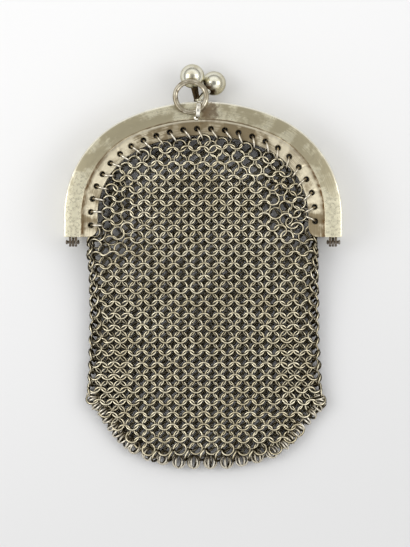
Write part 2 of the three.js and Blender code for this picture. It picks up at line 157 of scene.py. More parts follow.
@dataclass(frozen=True)
class ArchLine:
    """Outer edge of the frame: a three-centred arch on two straight legs."""

    half_width: float = 35.0
    shoulder_radius: float = 27.0
    shoulder_sweep: float = math.radians(65.8)
    leg_length: float = 5.3

    @property
    def shoulder_x(self) -> float:
        """Distance of a shoulder's centre from the middle."""
        return self.half_width - self.shoulder_radius

    @property
    def crown_radius(self) -> float:
        """Radius of the flat crown."""
        return self.shoulder_radius + self.shoulder_x / math.cos(self.shoulder_sweep)

    @property
    def crown_y(self) -> float:
        """Height of the crown's centre."""
        rise = (self.crown_radius - self.shoulder_radius) * math.sin(self.shoulder_sweep)
        return self.leg_length - rise

    @property
    def top(self) -> float:
        """Height of the crown's outer edge."""
        return self.crown_y + self.crown_radius

    def edge_at(self, x: float) -> float:
        """Height of the crown's outer edge at one x."""
        return self.crown_y + math.sqrt(self.crown_radius**2 - x**2)

    def lengths(self, inset: float) -> tuple[float, float]:
        """Length of half the crown and length of a shoulder, at an inset."""
        crown = (self.crown_radius - inset) * (math.pi / 2 - self.shoulder_sweep)
        return crown, (self.shoulder_radius - inset) * self.shoulder_sweep

    def spot(self, distance: float, inset: float) -> ArchSpot:
        """Finds the place at a distance from the crown's middle.

        Args:
            distance: signed distance along the arch, with the right side positive.
            inset: where the distance is measured, inwards from the outer edge.

        Returns:
            The place on the arch.
        """
        hand = -1 if distance < 0 else 1
        length = abs(distance)
        crown, shoulder = self.lengths(inset)
        if length < crown:
            angle = math.pi / 2 - length / (self.crown_radius - inset)
            return ArchSpot(hand, (0.0, self.crown_y), self.crown_radius, angle, 0.0)
        past = min(length - crown, shoulder)
        angle = self.shoulder_sweep - past / (self.shoulder_radius - inset)
        centre = (self.shoulder_x, self.leg_length)
        drop = max(length - crown - shoulder, 0.0)
        return ArchSpot(hand, centre, self.shoulder_radius, angle, drop)

    def unroll(self, x: float, y: float, inset: float) -> tuple[float, float]:
        """Turns a point into a distance along the arch and an inset, the reverse of spot.

        Args:
            x: across the purse.
            y: along the purse.
            inset: where the distance is measured.

        Returns:
            The signed distance along the arch, and the point's inset.
        """
        hand = -1 if x < 0 else 1
        crown, shoulder = self.lengths(inset)
        right, up = abs(x) - self.shoulder_x, y - self.leg_length
        if up < 0:
            return hand * (crown + shoulder - up), self.half_width - abs(x)
        angle = math.atan2(up, right)
        if angle < self.shoulder_sweep:
            turned = self.shoulder_sweep - angle
            along = crown + turned * (self.shoulder_radius - inset)
            return hand * along, self.shoulder_radius - math.hypot(right, up)
        angle = math.atan2(abs(x), y - self.crown_y)
        return (
            hand * angle * (self.crown_radius - inset),
            self.crown_radius - math.hypot(x, y - self.crown_y),
        )


@dataclass(frozen=True)
class Drawing:
    """Turns millimetres of the drawing into metres of the row frame.

    Args:
        rise: how far the drawing's origin lies along +Y from the row frame's, in metres.
    """

    rise: float

    @property
    def matrix(self) -> Matrix:
        """The change from drawing to row frame."""
        return Matrix.Translation((0.0, self.rise, 0.0)) @ Matrix.Scale(MILLIMETRE, 4)

    def place(self, point: Vector) -> Vector:
        """Turns one point of the drawing into the row frame."""
        return self.matrix @ point


class Tree:
    """Adds nodes and links to a shader or geometry tree, in the order that they are made.

    Args:
        tree: the tree to fill.
    """

    STEP = 190.0
    ROWS = 6

    def __init__(self, tree: bpy.types.NodeTree) -> None:
        self.tree = tree
        self.count = 0

    def add(
        self, kind: str, inputs: Mapping[int | str, object] | None = None, **settings: object
    ) -> Node:
        """Adds a node.

        Args:
            kind: the node's type.
            inputs: values or sockets for its inputs, by name or number.
            settings: properties of the node.

        Returns:
            The new node.
        """
        node = self.tree.nodes.new(kind)
        node.location = (self.STEP * (self.count // self.ROWS), -self.STEP * (self.count % self.ROWS))
        self.count += 1
        for name, value in settings.items():
            setattr(node, name, value)
        for key, value in (inputs or {}).items():
            if isinstance(value, Socket):
                self.tree.links.new(value, node.inputs[key])
            else:
                node.inputs[key].default_value = value
        return node

    def math(self, operation: str, first: object, second: object = 0.0) -> Socket:
        """Adds a Math node for two values or sockets, and gives its result."""
        inputs = {0: first, 1: second}
        return self.add("ShaderNodeMath", inputs, operation=operation).outputs[0]

    def local(self) -> Socket:
        """Gives the piece's own coordinates in millimetres."""
        place = self.add("ShaderNodeTexCoord").outputs["Object"]
        return self.scaled(place, (1 / MILLIMETRE,) * 3)

    def mask(self, group: bpy.types.NodeTree, vector: Socket, **sizes: float) -> Socket:
        """Adds a shared group with its sizes, read at a vector, and gives its mask."""
        inputs = {"Vector": vector, **sizes}
        return self.add("ShaderNodeGroup", inputs, node_tree=group).outputs[0]

    def scaled(self, vector: object, factors: Sequence[float]) -> Socket:
        """Multiplies a vector by one factor for each direction."""
        inputs = {0: vector, 1: tuple(factors)}
        return self.add("ShaderNodeVectorMath", inputs, operation="MULTIPLY").outputs[0]

    def ramp(
        self, value: object, low: object, high: object, start: object = 0.0, end: object = 1.0
    ) -> Socket:
        """Maps a value smoothly, so that low gives start and high gives end."""
        inputs = {0: value, 1: low, 2: high, 3: start, 4: end}
        return self.add("ShaderNodeMapRange", inputs, interpolation_type="SMOOTHSTEP").outputs[0]

    def blend(self, share: object, first: object, second: object) -> Socket:
        """Mixes two colours or sockets. The share is how much there is of the second."""
        inputs = {0: share, 6: opaque(first), 7: opaque(second)}
        return self.add("ShaderNodeMix", inputs, data_type="RGBA").outputs[2]

    def noise(self, vector: object, scale: float, detail: float = 2.0) -> Socket:
        """Adds a Noise Texture, and gives its value, around a half."""
        inputs = {"Vector": vector, "Scale": scale, "Detail": detail}
        return self.add("ShaderNodeTexNoise", inputs).outputs[0]


def opaque(colour: object) -> object:
    """Gives a plain colour its fourth value, and leaves a socket as it is."""
    return (*colour, 1.0) if isinstance(colour, tuple) else colour


class SurfaceEffects:
    """Shader groups that several finishes share. Each puts out masks or heights alone."""

    NOISE_SPAN = (0.28, 0.72)
    PATCH_SOFTNESS = 0.09

    def __init__(self) -> None:
        self.patches = self._build("tarnish_patches", {"Size": 3.0, "Share": 0.4}, self._patches)
        self.hairlines = self._build("hairlines", {"Length": 12.0, "Width": 0.2}, self._hairlines)
        self.grain = self._build("metal_grain", {"Size": 0.3}, self._grain)

    def _build(
        self, name: str, sizes: Mapping[str, float], fill: Callable[[Tree, Node], Socket]
    ) -> bpy.types.NodeTree:
        """Makes one group with a Vector input, its sizes, and one output named Mask.

        Args:
            name: the group's name.
            sizes: names and usual values of its size inputs, in millimetres or shares.
            fill: adds the nodes, given the tree and the group's input node.

        Returns:
            The group.
        """
        group = bpy.data.node_groups.new(name, "ShaderNodeTree")
        group.interface.new_socket("Vector", in_out="INPUT", socket_type="NodeSocketVector")
        for size, usual in sizes.items():
            socket = group.interface.new_socket(size, in_out="INPUT", socket_type="NodeSocketFloat")
            socket.default_value = usual
        group.interface.new_socket("Mask", in_out="OUTPUT", socket_type="NodeSocketFloat")
        tree = Tree(group)
        start = tree.add("NodeGroupInput")
        tree.add("NodeGroupOutput", {"Mask": fill(tree, start)})
        return group

    def _patches(self, tree: Tree, start: Node) -> Socket:
        """Soft uneven patches.

        Args:
            tree: the group's tree.
            start: the group's input node.

        Returns:
            The mask, 1 on the patches.
        """
        scale = tree.math("DIVIDE", 1.0, start.outputs["Size"])
        wide = tree.noise(start.outputs["Vector"], scale, 4.0)
        middle = tree.math("SUBTRACT", 1.0, start.outputs["Share"])
        centred = tree.ramp(middle, 0.0, 1.0, *self.NOISE_SPAN)
        low = tree.math("SUBTRACT", centred, self.PATCH_SOFTNESS)
        return tree.ramp(wide, low, tree.math("ADD", centred, self.PATCH_SOFTNESS))

    def _hairlines(self, tree: Tree, start: Node) -> Socket:
        """Fine lines along the first direction of the vector.

        Args:
            tree: the group's tree.
            start: the group's input node.

        Returns:
            The lines' height, around a half.
        """
        along = tree.math("DIVIDE", 1.0, start.outputs["Length"])
        across = tree.math("DIVIDE", 1.0, start.outputs["Width"])
        factors = tree.add("ShaderNodeCombineXYZ", {0: along, 1: across, 2: across}).outputs[0]
        inputs = {0: start.outputs["Vector"], 1: factors}
        stretched = tree.add("ShaderNodeVectorMath", inputs, operation="MULTIPLY").outputs[0]
        return tree.noise(stretched, 1.0, 3.0)

    def _grain(self, tree: Tree, start: Node) -> Socket:
        """Small pits and bumps, as a height around a half."""
        scale = tree.math("DIVIDE", 1.0, start.outputs["Size"])
        return tree.noise(start.outputs["Vector"], scale, 3.0)


def new_material(name: str) -> tuple[Material, Tree]:
    """Makes an empty material.

    Args:
        name: its name.

    Returns:
        The material and its tree.
    """
    material = bpy.data.materials.new(name)
    material.use_nodes = True
    material.node_tree.nodes.clear()
    return material, Tree(material.node_tree)


def close_material(
    tree: Tree, colour: object, roughness: object, height: Socket, depth: float,
    metallic: float = 1.0, anisotropic: float = 0.0,
) -> Node:
    """Ends a material in a Principled shader with a bump.

    Args:
        tree: the material's tree.
        colour: base colour or socket.
        roughness: roughness or socket.
        height: the bump's height.
        depth: the bump's distance in metres.
        metallic: how metallic the surface is.
        anisotropic: how much the gloss spreads across the hairlines.

    Returns:
        The Principled shader.
    """
    bump = tree.add("ShaderNodeBump", {"Height": height, "Distance": depth, "Strength": 1.0})
    inputs = {
        "Base Color": opaque(colour),
        "Roughness": roughness,
        "Metallic": metallic,
        "Anisotropic": anisotropic,
        "Normal": bump.outputs[0],
    }
    shader = tree.add("ShaderNodeBsdfPrincipled", inputs)
    tree.add("ShaderNodeOutputMaterial", {0: shader.outputs[0]})
    return shader


@dataclass(frozen=True)
class FrameFinish:
    """Brushed silver of the frame. It reads the arch map: distance along the arch, and inset.

    Args:
        name: the material's name.
        clean: colour of the metal where it is rubbed.
        dull: colour of its tarnished patches.
        stain: colour of the tarnish that lies in the step, which also paints the shade in the step's
            crease.
        arch_tarnish_and_sheen: how much more tarnish lies on the crown, the shoulders and the legs,
            which also paints sheen where it is low and shade where it is high.
        painted_highlight: colour of the painted highlight, a bright line along the band's outer edge and
            along the flange's edge at the step.
        painted_highlight_span: insets where the painted highlight fades in, is full, and fades out
            again.
        painted_highlight_on_legs: share of the painted highlight that is left on the legs.
        tarnish_shade_from: inset where the tarnish and painted shade of the step are full.
        tarnish_shade_to: inset where they have faded out.
        tarnish_shade_on_crown: share of them that is left on the crown.
        rust: share of rust beside the staple.
        roughness: roughness of the clean metal.
        dull_roughness: roughness of the patches.
        spread: how much the brushing spreads the gloss.
    """

    name: str
    clean: Colour
    dull: Colour
    stain: Colour
    arch_tarnish_and_sheen: tuple[float, float, float]
    painted_highlight: Colour
    painted_highlight_span: tuple[float, float, float]
    painted_highlight_on_legs: float
    tarnish_shade_from: float
    tarnish_shade_to: float
    tarnish_shade_on_crown: float
    rust: float
    roughness: float
    dull_roughness: float
    spread: float

    LEGS = (12.0, 36.0)
    UPPER_ARCH = (7.0, 23.0)
    LOWER_ARCH = (27.0, 42.0)
    PATCH_SIZE = 5.0
    DULL_SHARE = 0.5
    LINE_LENGTH = 7.0
    LINE_WIDTH = 0.22
    GRAIN_SIZE = 0.7
    RUST_SPOT = (1.3, 2.6, 0.0)
    RUST_SHAPE = (0.42, 0.3, 0.0)
    BUMP = 0.000009
    QUARTER_TURN = 0.25

    def build(self, effects: SurfaceEffects) -> Material:
        """Builds the material.

        Args:
            effects: the shared shader groups.

        Returns:
            The material.
        """
        material, tree = new_material(self.name)
        arch_map = tree.add("ShaderNodeUVMap", uv_map=ARCH_MAP).outputs[0]
        local = tree.local()
        spot = tree.add("ShaderNodeSeparateXYZ", {0: arch_map}).outputs
        inset, away = spot[1], tree.math("ABSOLUTE", spot[0])
        legs = tree.ramp(away, *self.LEGS)
        lines = tree.mask(effects.hairlines, arch_map, Length=self.LINE_LENGTH, Width=self.LINE_WIDTH)
        grain = tree.mask(effects.grain, local, Size=self.GRAIN_SIZE)
        patches = tree.mask(effects.patches, local, Size=self.PATCH_SIZE, Share=self.DULL_SHARE)
        # Tarnish along the arch, which also paints the light: the parts that catch the softboxes cleaner
        # and brighter, the rest duller.
        crown, shoulder, leg = self.arch_tarnish_and_sheen
        upper = tree.ramp(away, *self.UPPER_ARCH, crown, shoulder)
        lower = tree.ramp(away, *self.LOWER_ARCH, 0.0, leg - shoulder)
        dulled = tree.math("ADD", patches, tree.ramp(lines, 0.35, 0.65, -0.2, 0.2))
        dulled = tree.math("ADD", dulled, tree.math("ADD", upper, lower))
        dulled = tree.ramp(tree.math("ADD", dulled, 0.3), 0.0, 1.2)
        # Painted highlight: a bright line over a span of insets, weaker on the legs.
        start, full, end = self.painted_highlight_span
        painted_highlight_mask = tree.ramp(inset, start, full)
        painted_highlight_mask = tree.math("MULTIPLY", painted_highlight_mask, tree.ramp(inset, full, end, 1.0, 0.0))
        painted_highlight_mask = tree.math("MULTIPLY", painted_highlight_mask, tree.ramp(legs, 0.0, 1.0, 1.0, self.painted_highlight_on_legs))
        # Tarnish along the step, together with painted shade of the step's crease.
        tarnish_and_shade = tree.ramp(tree.noise(local, 0.55, 4.0), 0.36, 0.6, 0.35, 1.0)
        reach = tree.ramp(inset, self.tarnish_shade_from, self.tarnish_shade_to, 1.0, 0.0)
        tarnish_and_shade = tree.math("MULTIPLY", tarnish_and_shade, reach)
        on_crown = tree.ramp(legs, 0.0, 1.0, self.tarnish_shade_on_crown, 1.0)
        tarnish_and_shade = tree.math("MULTIPLY", tarnish_and_shade, on_crown)
        inputs = {0: arch_map, 1: self.RUST_SPOT}
        beside = tree.add("ShaderNodeVectorMath", inputs, operation="SUBTRACT").outputs[0]
        inputs = {0: tree.scaled(beside, self.RUST_SHAPE)}
        rust = tree.add("ShaderNodeVectorMath", inputs, operation="LENGTH").outputs["Value"]
        ragged = tree.ramp(tree.noise(local, 0.8, 4.0), 0.3, 0.7, -0.45, 0.45)
        rust = tree.ramp(tree.math("ADD", rust, ragged), 0.35, 1.25, self.rust, 0.0)
        colour = tree.blend(dulled, self.clean, self.dull)
        colour = tree.blend(painted_highlight_mask, colour, self.painted_highlight)
        colour = tree.blend(tarnish_and_shade, colour, self.stain)
        colour = tree.blend(rust, colour, self.stain)
        gloss = tree.ramp(dulled, 0.0, 1.0, self.roughness, self.dull_roughness)
        gloss = tree.math("ADD", gloss, tree.ramp(grain, 0.3, 0.7, -0.05, 0.05))
        height = tree.math("ADD", lines, tree.math("MULTIPLY", grain, 0.4))
        shader = close_material(tree, colour, gloss, height, self.BUMP, anisotropic=self.spread)
        shader.inputs["Anisotropic Rotation"].default_value = self.QUARTER_TURN
        direction = tree.add("ShaderNodeTangent", direction_type="UV_MAP", uv_map=ARCH_MAP)
        tree.tree.links.new(direction.outputs[0], shader.inputs["Tangent"])
        return material


@dataclass(frozen=True)
class StainedFinish:
    """Smooth silver with tarnish in patches, for the turned and drawn pieces.

    Args:
        name: the material's name.
        clean: colour of the bright metal.
        dull: colour of the light tarnish.
        stain: colour of the heavy tarnish.
        painted_shade: colour of the painted shade under the clasp balls and on their arms, where the
            shade mark is set.
        dull_share: share under light tarnish.
        stain_share: share under heavy tarnish.
        patch_size: size of the patches.
        roughness: roughness of the bright metal.
        dull_roughness: roughness of the tarnish.
    """

    name: str
    clean: Colour
    dull: Colour
    stain: Colour
    painted_shade: Colour
    dull_share: float
    stain_share: float
    patch_size: float
    roughness: float
    dull_roughness: float

    STAIN_SHIFT = (17.0, 5.0, 29.0)
    STAIN_SCALE = 0.6
    GRAIN_SIZE = 0.35
    BUMP = 0.000004
    EDGE_TINT = (0.62, 0.60, 0.52)

    def build(self, effects: SurfaceEffects) -> Material:
        """Builds the material.

        Args:
            effects: the shared shader groups.

        Returns:
            The material.
        """
        material, tree = new_material(self.name)
        local = tree.local()
        light = tree.mask(effects.patches, local, Size=self.patch_size, Share=self.dull_share)
        moved = tree.add("ShaderNodeVectorMath", {0: local, 1: self.STAIN_SHIFT}).outputs[0]
        stain_size = self.patch_size * self.STAIN_SCALE
        heavy = tree.mask(effects.patches, moved, Size=stain_size, Share=self.stain_share)
        grain = tree.mask(effects.grain, local, Size=self.GRAIN_SIZE)
        colour = tree.blend(light, self.clean, self.dull)
        colour = tree.blend(heavy, colour, self.stain)
        # Painted shade: darkens the surface where the shade mark is set, under the clasp balls and on
        # their arms.
        painted_shade = tree.add("ShaderNodeAttribute", attribute_name=PAINTED_SHADE_MARK).outputs["Fac"]
        uneven = tree.ramp(tree.noise(local, 0.9, 3.0), 0.3, 0.7, -0.25, 0.25)
        painted_shade = tree.ramp(tree.math("ADD", painted_shade, tree.math("MULTIPLY", uneven, painted_shade)), 0.1, 0.8)
        colour = tree.blend(painted_shade, colour, self.painted_shade)
        gloss = tree.ramp(light, 0.0, 1.0, self.roughness, self.dull_roughness)
        gloss = tree.math("ADD", gloss, tree.math("MULTIPLY", painted_shade, 0.2))
        gloss = tree.math("ADD", gloss, tree.ramp(grain, 0.3, 0.7, -0.03, 0.05))
        shader = close_material(tree, colour, gloss, grain, self.BUMP)
        shader.inputs["Specular Tint"].default_value = opaque(self.EDGE_TINT)
        return material


@dataclass(frozen=True)
class WireFinish:
    """Silver wire of the mesh: rubbed bright where it faces out, and dark with oxide elsewhere; both are
    partly painted highlight and painted shade.

    Args:
        name: the material's name.
        bright: colour of the rubbed face, which is also painted highlight.
        dull: colour of duller rings.
        oxide_and_shade: colour of the faces that nothing rubs, which is oxide and painted shade.
        roughness: roughness of the rubbed face.
        oxide_roughness: roughness of the faces that nothing rubs.
        rub_and_highlight_from: how far a face has to turn outwards before it is rubbed and painted
            bright at all.
        rub_and_highlight_to: how far it has turned where it is bright.
        inner_rub_and_highlight: how bright the faces are that look into the bag.
    """

    name: str
    bright: Colour
    dull: Colour
    oxide_and_shade: Colour
    roughness: float
    oxide_roughness: float
    rub_and_highlight_from: float
    rub_and_highlight_to: float
    inner_rub_and_highlight: float

    PATCH_SIZE = 6.0
    PATCH_SHARE = 0.4
    GRAIN_SIZE = 0.4
    BUMP = 0.000008

    def build(self, effects: SurfaceEffects) -> Material:
        """Builds the material.

        Args:
            effects: the shared shader groups.

        Returns:
            The material.
        """
        material, tree = new_material(self.name)
        facing = tree.add("ShaderNodeAttribute", attribute_name=FACING_OUT).outputs["Fac"]
        tone = tree.add("ShaderNodeAttribute", attribute_name=RING_TONE).outputs["Fac"]
        local = tree.local()
        patches = tree.mask(effects.patches, local, Size=self.PATCH_SIZE, Share=self.PATCH_SHARE)
        grain = tree.mask(effects.grain, local, Size=self.GRAIN_SIZE)
        # Wear and painted highlight on the faces that look out; oxide and painted shade on the flanks
        # and on the faces that look into the bag, which darkens the back sheet as the shade between the
        # sheets would.
        rubbed_and_lit = tree.ramp(facing, self.rub_and_highlight_from, self.rub_and_highlight_to)
        inside = tree.ramp(facing, -self.rub_and_highlight_from, -self.rub_and_highlight_to, 0.0, self.inner_rub_and_highlight)
        rubbed_and_lit = tree.math("ADD", rubbed_and_lit, inside)
        inputs = {0: patches, 1: 0.5, 2: tone}
        dulled = tree.add("ShaderNodeMath", inputs, operation="MULTIPLY_ADD").outputs[0]
        colour = tree.blend(rubbed_and_lit, self.oxide_and_shade, tree.blend(dulled, self.bright, self.dull))
        gloss = tree.ramp(rubbed_and_lit, 0.0, 1.0, self.oxide_roughness, self.roughness)
        close_material(tree, colour, gloss, grain, self.BUMP)
        return material


FINISHES = {
    "band": FrameFinish(
        name="band_silver", clean=(0.95, 0.89, 0.66), dull=(0.46, 0.41, 0.275),
        stain=(0.16, 0.09, 0.04), arch_tarnish_and_sheen=(0.0, 0.2, -1.1), painted_highlight=(0.92, 0.90, 0.80),
        painted_highlight_span=(-0.2, 0.1, 0.55), painted_highlight_on_legs=0.6, tarnish_shade_from=4.45, tarnish_shade_to=4.1,
        tarnish_shade_on_crown=1.0, rust=0.75, roughness=0.3, dull_roughness=0.42, spread=0.65,
    ),
    "flange": FrameFinish(
        name="flange_silver", clean=(0.95, 0.86, 0.64), dull=(0.27, 0.215, 0.13),
        stain=(0.17, 0.10, 0.04), arch_tarnish_and_sheen=(0.55, -0.8, -0.1), painted_highlight=(0.90, 0.85, 0.68),
        painted_highlight_span=(4.45, 4.7, 5.2), painted_highlight_on_legs=0.0, tarnish_shade_from=4.5, tarnish_shade_to=5.6,
        tarnish_shade_on_crown=0.25, rust=0.5, roughness=0.38, dull_roughness=0.5, spread=0.4,
    ),
    # Hole walls: tarnish darkened further with painted shade inside the holes.
    "inside": StainedFinish(
        name="hole_shade_silver", clean=(0.16, 0.12, 0.07), dull=(0.09, 0.06, 0.035),
        stain=(0.05, 0.035, 0.02), painted_shade=(0.05, 0.035, 0.02), dull_share=0.5, stain_share=0.3,
        patch_size=2.0, roughness=0.5, dull_roughness=0.6,
    ),
    "polished": StainedFinish(
        name="polished_silver", clean=(0.76, 0.74, 0.62), dull=(0.62, 0.58, 0.44),
        stain=(0.26, 0.17, 0.08), painted_shade=(0.085, 0.056, 0.03), dull_share=0.45, stain_share=0.16,
        patch_size=3.0, roughness=0.13, dull_roughness=0.24,
    ),
    "wire_ring": StainedFinish(
        name="ring_silver", clean=(0.58, 0.53, 0.42), dull=(0.32, 0.28, 0.20),
        stain=(0.12, 0.08, 0.045), painted_shade=(0.08, 0.055, 0.03), dull_share=0.55, stain_share=0.2,
        patch_size=2.0, roughness=0.24, dull_roughness=0.38,
    ),
    "staple": StainedFinish(
        name="staple_silver", clean=(0.88, 0.85, 0.76), dull=(0.66, 0.61, 0.48),
        stain=(0.2, 0.13, 0.07), painted_shade=(0.08, 0.055, 0.03), dull_share=0.3, stain_share=0.1,
        patch_size=2.0, roughness=0.26, dull_roughness=0.4,
    ),
    "mesh": WireFinish(
        name="mesh_silver", bright=(0.96, 0.88, 0.66), dull=(0.68, 0.60, 0.41),
        oxide_and_shade=(0.036, 0.025, 0.009), roughness=0.3, oxide_roughness=0.55, rub_and_highlight_from=0.6, rub_and_highlight_to=0.93,
        inner_rub_and_highlight=0.3,
    ),
    "rim": WireFinish(
        name="rim_silver", bright=(0.80, 0.75, 0.64), dull=(0.62, 0.56, 0.44),
        oxide_and_shade=(0.10, 0.08, 0.045), roughness=0.26, oxide_roughness=0.45, rub_and_highlight_from=0.1, rub_and_highlight_to=0.8,
        inner_rub_and_highlight=0.5,
    ),
    "steel": StainedFinish(
        name="pin_steel", clean=(0.34, 0.31, 0.27), dull=(0.17, 0.14, 0.11), stain=(0.08, 0.05, 0.03),
        painted_shade=(0.04, 0.03, 0.02), dull_share=0.6, stain_share=0.35, patch_size=1.0, roughness=0.4,
        dull_roughness=0.6,
    ),
}


@dataclass(frozen=True)
class Finishes:
    """Every material of the purse."""

    band: Material
    flange: Material
    inside: Material
    polished: Material
    wire_ring: Material
    staple: Material
    mesh: Material
    rim: Material
    steel: Material

    @classmethod
    def made(cls) -> "Finishes":
        """Builds the shared groups and all materials."""
        effects = SurfaceEffects()
        return cls(**{name: finish.build(effects) for name, finish in FINISHES.items()})


def rounded_outline(corners: Sequence[tuple[float, float, float]], steps: int) -> Outline:
    """Rounds the corners of a closed outline.

    Args:
        corners: each corner's two coordinates and its radius.
        steps: number of segments in each round corner.

    Returns:
        The points of the rounded outline.
    """
    points = []
    count = len(corners)
    for i, (x, y, radius) in enumerate(corners):
        here = Vector((x, y))
        before = (Vector(corners[i - 1][:2]) - here).normalized()
        after = (Vector(corners[(i + 1) % count][:2]) - here).normalized()
        half = before.angle(after) / 2
        reach = radius / math.tan(half)
        centre = here + (before + after).normalized() * (radius / math.sin(half))
        first, last = here + before * reach - centre, here + after * reach - centre
        for step in range(steps + 1):
            share = step / steps
            arm = first.lerp(last, share).normalized() * radius
            points.append(tuple(centre + arm))
    return points


def skin(sections: Sequence[Sequence[Vector]], closed: bool = False) -> Skin:
    """Makes a closed skin through sections with as many points each.

    Args:
        sections: the sections, in order.
        closed: whether the last section joins the first. Otherwise both ends are capped.

    Returns:
        The skin, with its faces pointing out.
    """
    made = bmesh.new()
    rows = [[made.verts.new(p) for p in section] for section in sections]
    pairs = list(zip(rows, rows[1:]))
    if closed:
        pairs.append((rows[-1], rows[0]))
    count = len(rows[0])
    for lower, upper in pairs:
        for i in range(count):
            j = (i + 1) % count
            made.faces.new((lower[i], lower[j], upper[j], upper[i]))
    if not closed:
        made.faces.new(rows[0])
        made.faces.new(rows[-1])
    bmesh.ops.recalc_face_normals(made, faces=made.faces)
    return made


def sweep(
    path: Sequence[Vector], across: Vector, sections: Sequence[Outline], closed: bool = False
) -> Skin:
    """Carries sections along a path that lies roughly in one plane.

    Args:
        path: points of the path.
        across: direction across the path's plane, which the sections' first axis keeps to.
        sections: one flat section for each point of the path.
        closed: whether the path is a loop.

    Returns:
        The swept skin.
    """
    rings = []
    count = len(path)
    for i, (point, section) in enumerate(zip(path, sections)):
        before = path[i - 1] if closed or i else path[0]
        after = path[(i + 1) % count] if closed else path[min(i + 1, count - 1)]
        along = (after - before).normalized()
        first = (across - along * across.dot(along)).normalized()
        second = along.cross(first)
        rings.append([point + first * u + second * v for u, v in section])
    return skin(rings, closed)


def circle(radius: float, sides: int, flat: float = 1.0) -> Outline:
    """Draws a round section, flattened to a share of its height on the second axis."""
    angles = [2 * math.pi * i / sides for i in range(sides)]
    return [(radius * math.cos(a), flat * radius * math.sin(a)) for a in angles]


def turned(base: Vector, axis: Vector, profile: Outline, sides: int) -> Skin:
    """Turns a profile round an axis, as on a lathe.

    Args:
        base: point that distances are measured from.
        axis: direction of the axis.
        profile: distance along the axis and radius, from one flat end to the other.
        sides: number of sides.

    Returns:
        The turned solid.
    """
    axis = axis.normalized()
    first = axis.orthogonal().normalized()
    second = axis.cross(first)
    rings = []
    for distance, radius in profile:
        centre = base + axis * distance
        rings.append([centre + first * u + second * v for u, v in circle(radius, sides)])
    return skin(rings)


def block(first: Sequence[float], second: Sequence[float]) -> Skin:
    """Makes a box between two opposite corners.

    Args:
        first: one corner.
        second: the other corner.

    Returns:
        The box.
    """
    low, high = Vector(map(min, first, second)), Vector(map(max, first, second))
    corners = [(low.x, low.y), (high.x, low.y), (high.x, high.y), (low.x, high.y)]
    return skin([[Vector((x, y, z)) for x, y in corners] for z in (low.z, high.z)])


def merged(parts: Sequence[Skin]) -> Mesh:
    """Puts several skins in one mesh, and frees them.

    Args:
        parts: the skins.

    Returns:
        The mesh.
    """
    result = bmesh.new()
    for part in parts:
        piece = bpy.data.meshes.new("part")
        part.to_mesh(piece)
        part.free()
        result.from_mesh(piece)
        bpy.data.meshes.remove(piece)
    mesh = bpy.data.meshes.new("merged")
    result.to_mesh(mesh)
    result.free()
    return mesh


def placed(name: str, data: bpy.types.ID) -> Piece:
    """Adds an object with its mesh, light or camera to the scene."""
    thing = bpy.data.objects.new(name, data)
    bpy.context.scene.collection.objects.link(thing)
    return thing


def applied(thing: Piece) -> Mesh:
    """Gives a new mesh with the modifiers of an object applied."""
    bpy.context.view_layer.update()
    evaluated = thing.evaluated_get(bpy.context.evaluated_depsgraph_get())
    return bpy.data.meshes.new_from_object(evaluated)


def worked(body: Mesh, steps: Sequence[tuple[MeshOperation, Mesh]]) -> Mesh:
    """Joins tool shapes to a body or cuts them out of it, one after the other.

    Args:
        body: the mesh to work on.
        steps: each operation with its tool.

    Returns:
        The worked mesh.
    """
    blank = placed("blank", body)
    tools = []
    for operation, tool_mesh in steps:
        tool = placed("tool", tool_mesh)
        tools.append(tool)
        modifier = blank.modifiers.new("work", "BOOLEAN")
        modifier.operation = operation.value
        modifier.object = tool
        modifier.solver = "EXACT"
        modifier.use_self = True
    result = applied(blank)
    for thing in [blank, *tools]:
        mesh = thing.data
        bpy.data.objects.remove(thing)
        bpy.data.meshes.remove(mesh)
    return result


@dataclass
class Workshop:
    """What every sub-assembly needs to make and hand over its pieces.

    Args:
        drawing: the change from drawing to row frame.
        finishes: the materials.
    """

    drawing: Drawing
    finishes: Finishes

    SHARP_FROM = math.radians(35.0)

    def deliver(
        self, name: str, mesh: Mesh, materials: Sequence[Material], slot: str, nodes: Sequence[str]
    ) -> None:
        """Turns a mesh in drawing millimetres into a finished piece on its body.

        Args:
            name: the piece's name.
            mesh: its mesh, in the drawing's millimetres.
            materials: its materials, by face number.
            slot: a material slot's name; not used.
            nodes: the CAD nodes that it stands for.
        """
        mesh.name = name
        mesh.transform(self.drawing.matrix)
        for material in materials:
            mesh.materials.append(material)
        mesh.shade_smooth()
        mesh.set_sharp_from_angle(angle=self.SHARP_FROM)
        self.hand_over(placed(name, mesh), slot, nodes)

    def hand_over(self, piece: Piece, slot: str, nodes: Sequence[str]) -> None:
        """Puts a piece on the purse's body and hides the CAD nodes that it stands for.

        Args:
            piece: the finished piece.
            slot: a material slot's name; not used.
            nodes: the CAD nodes that it stands for.
        """
        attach(piece, BODY)
        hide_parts(*nodes)
        piece.data.calc_loop_triangles()
        LOG.info("%s: %d triangles", piece.name, len(piece.data.loop_triangles))


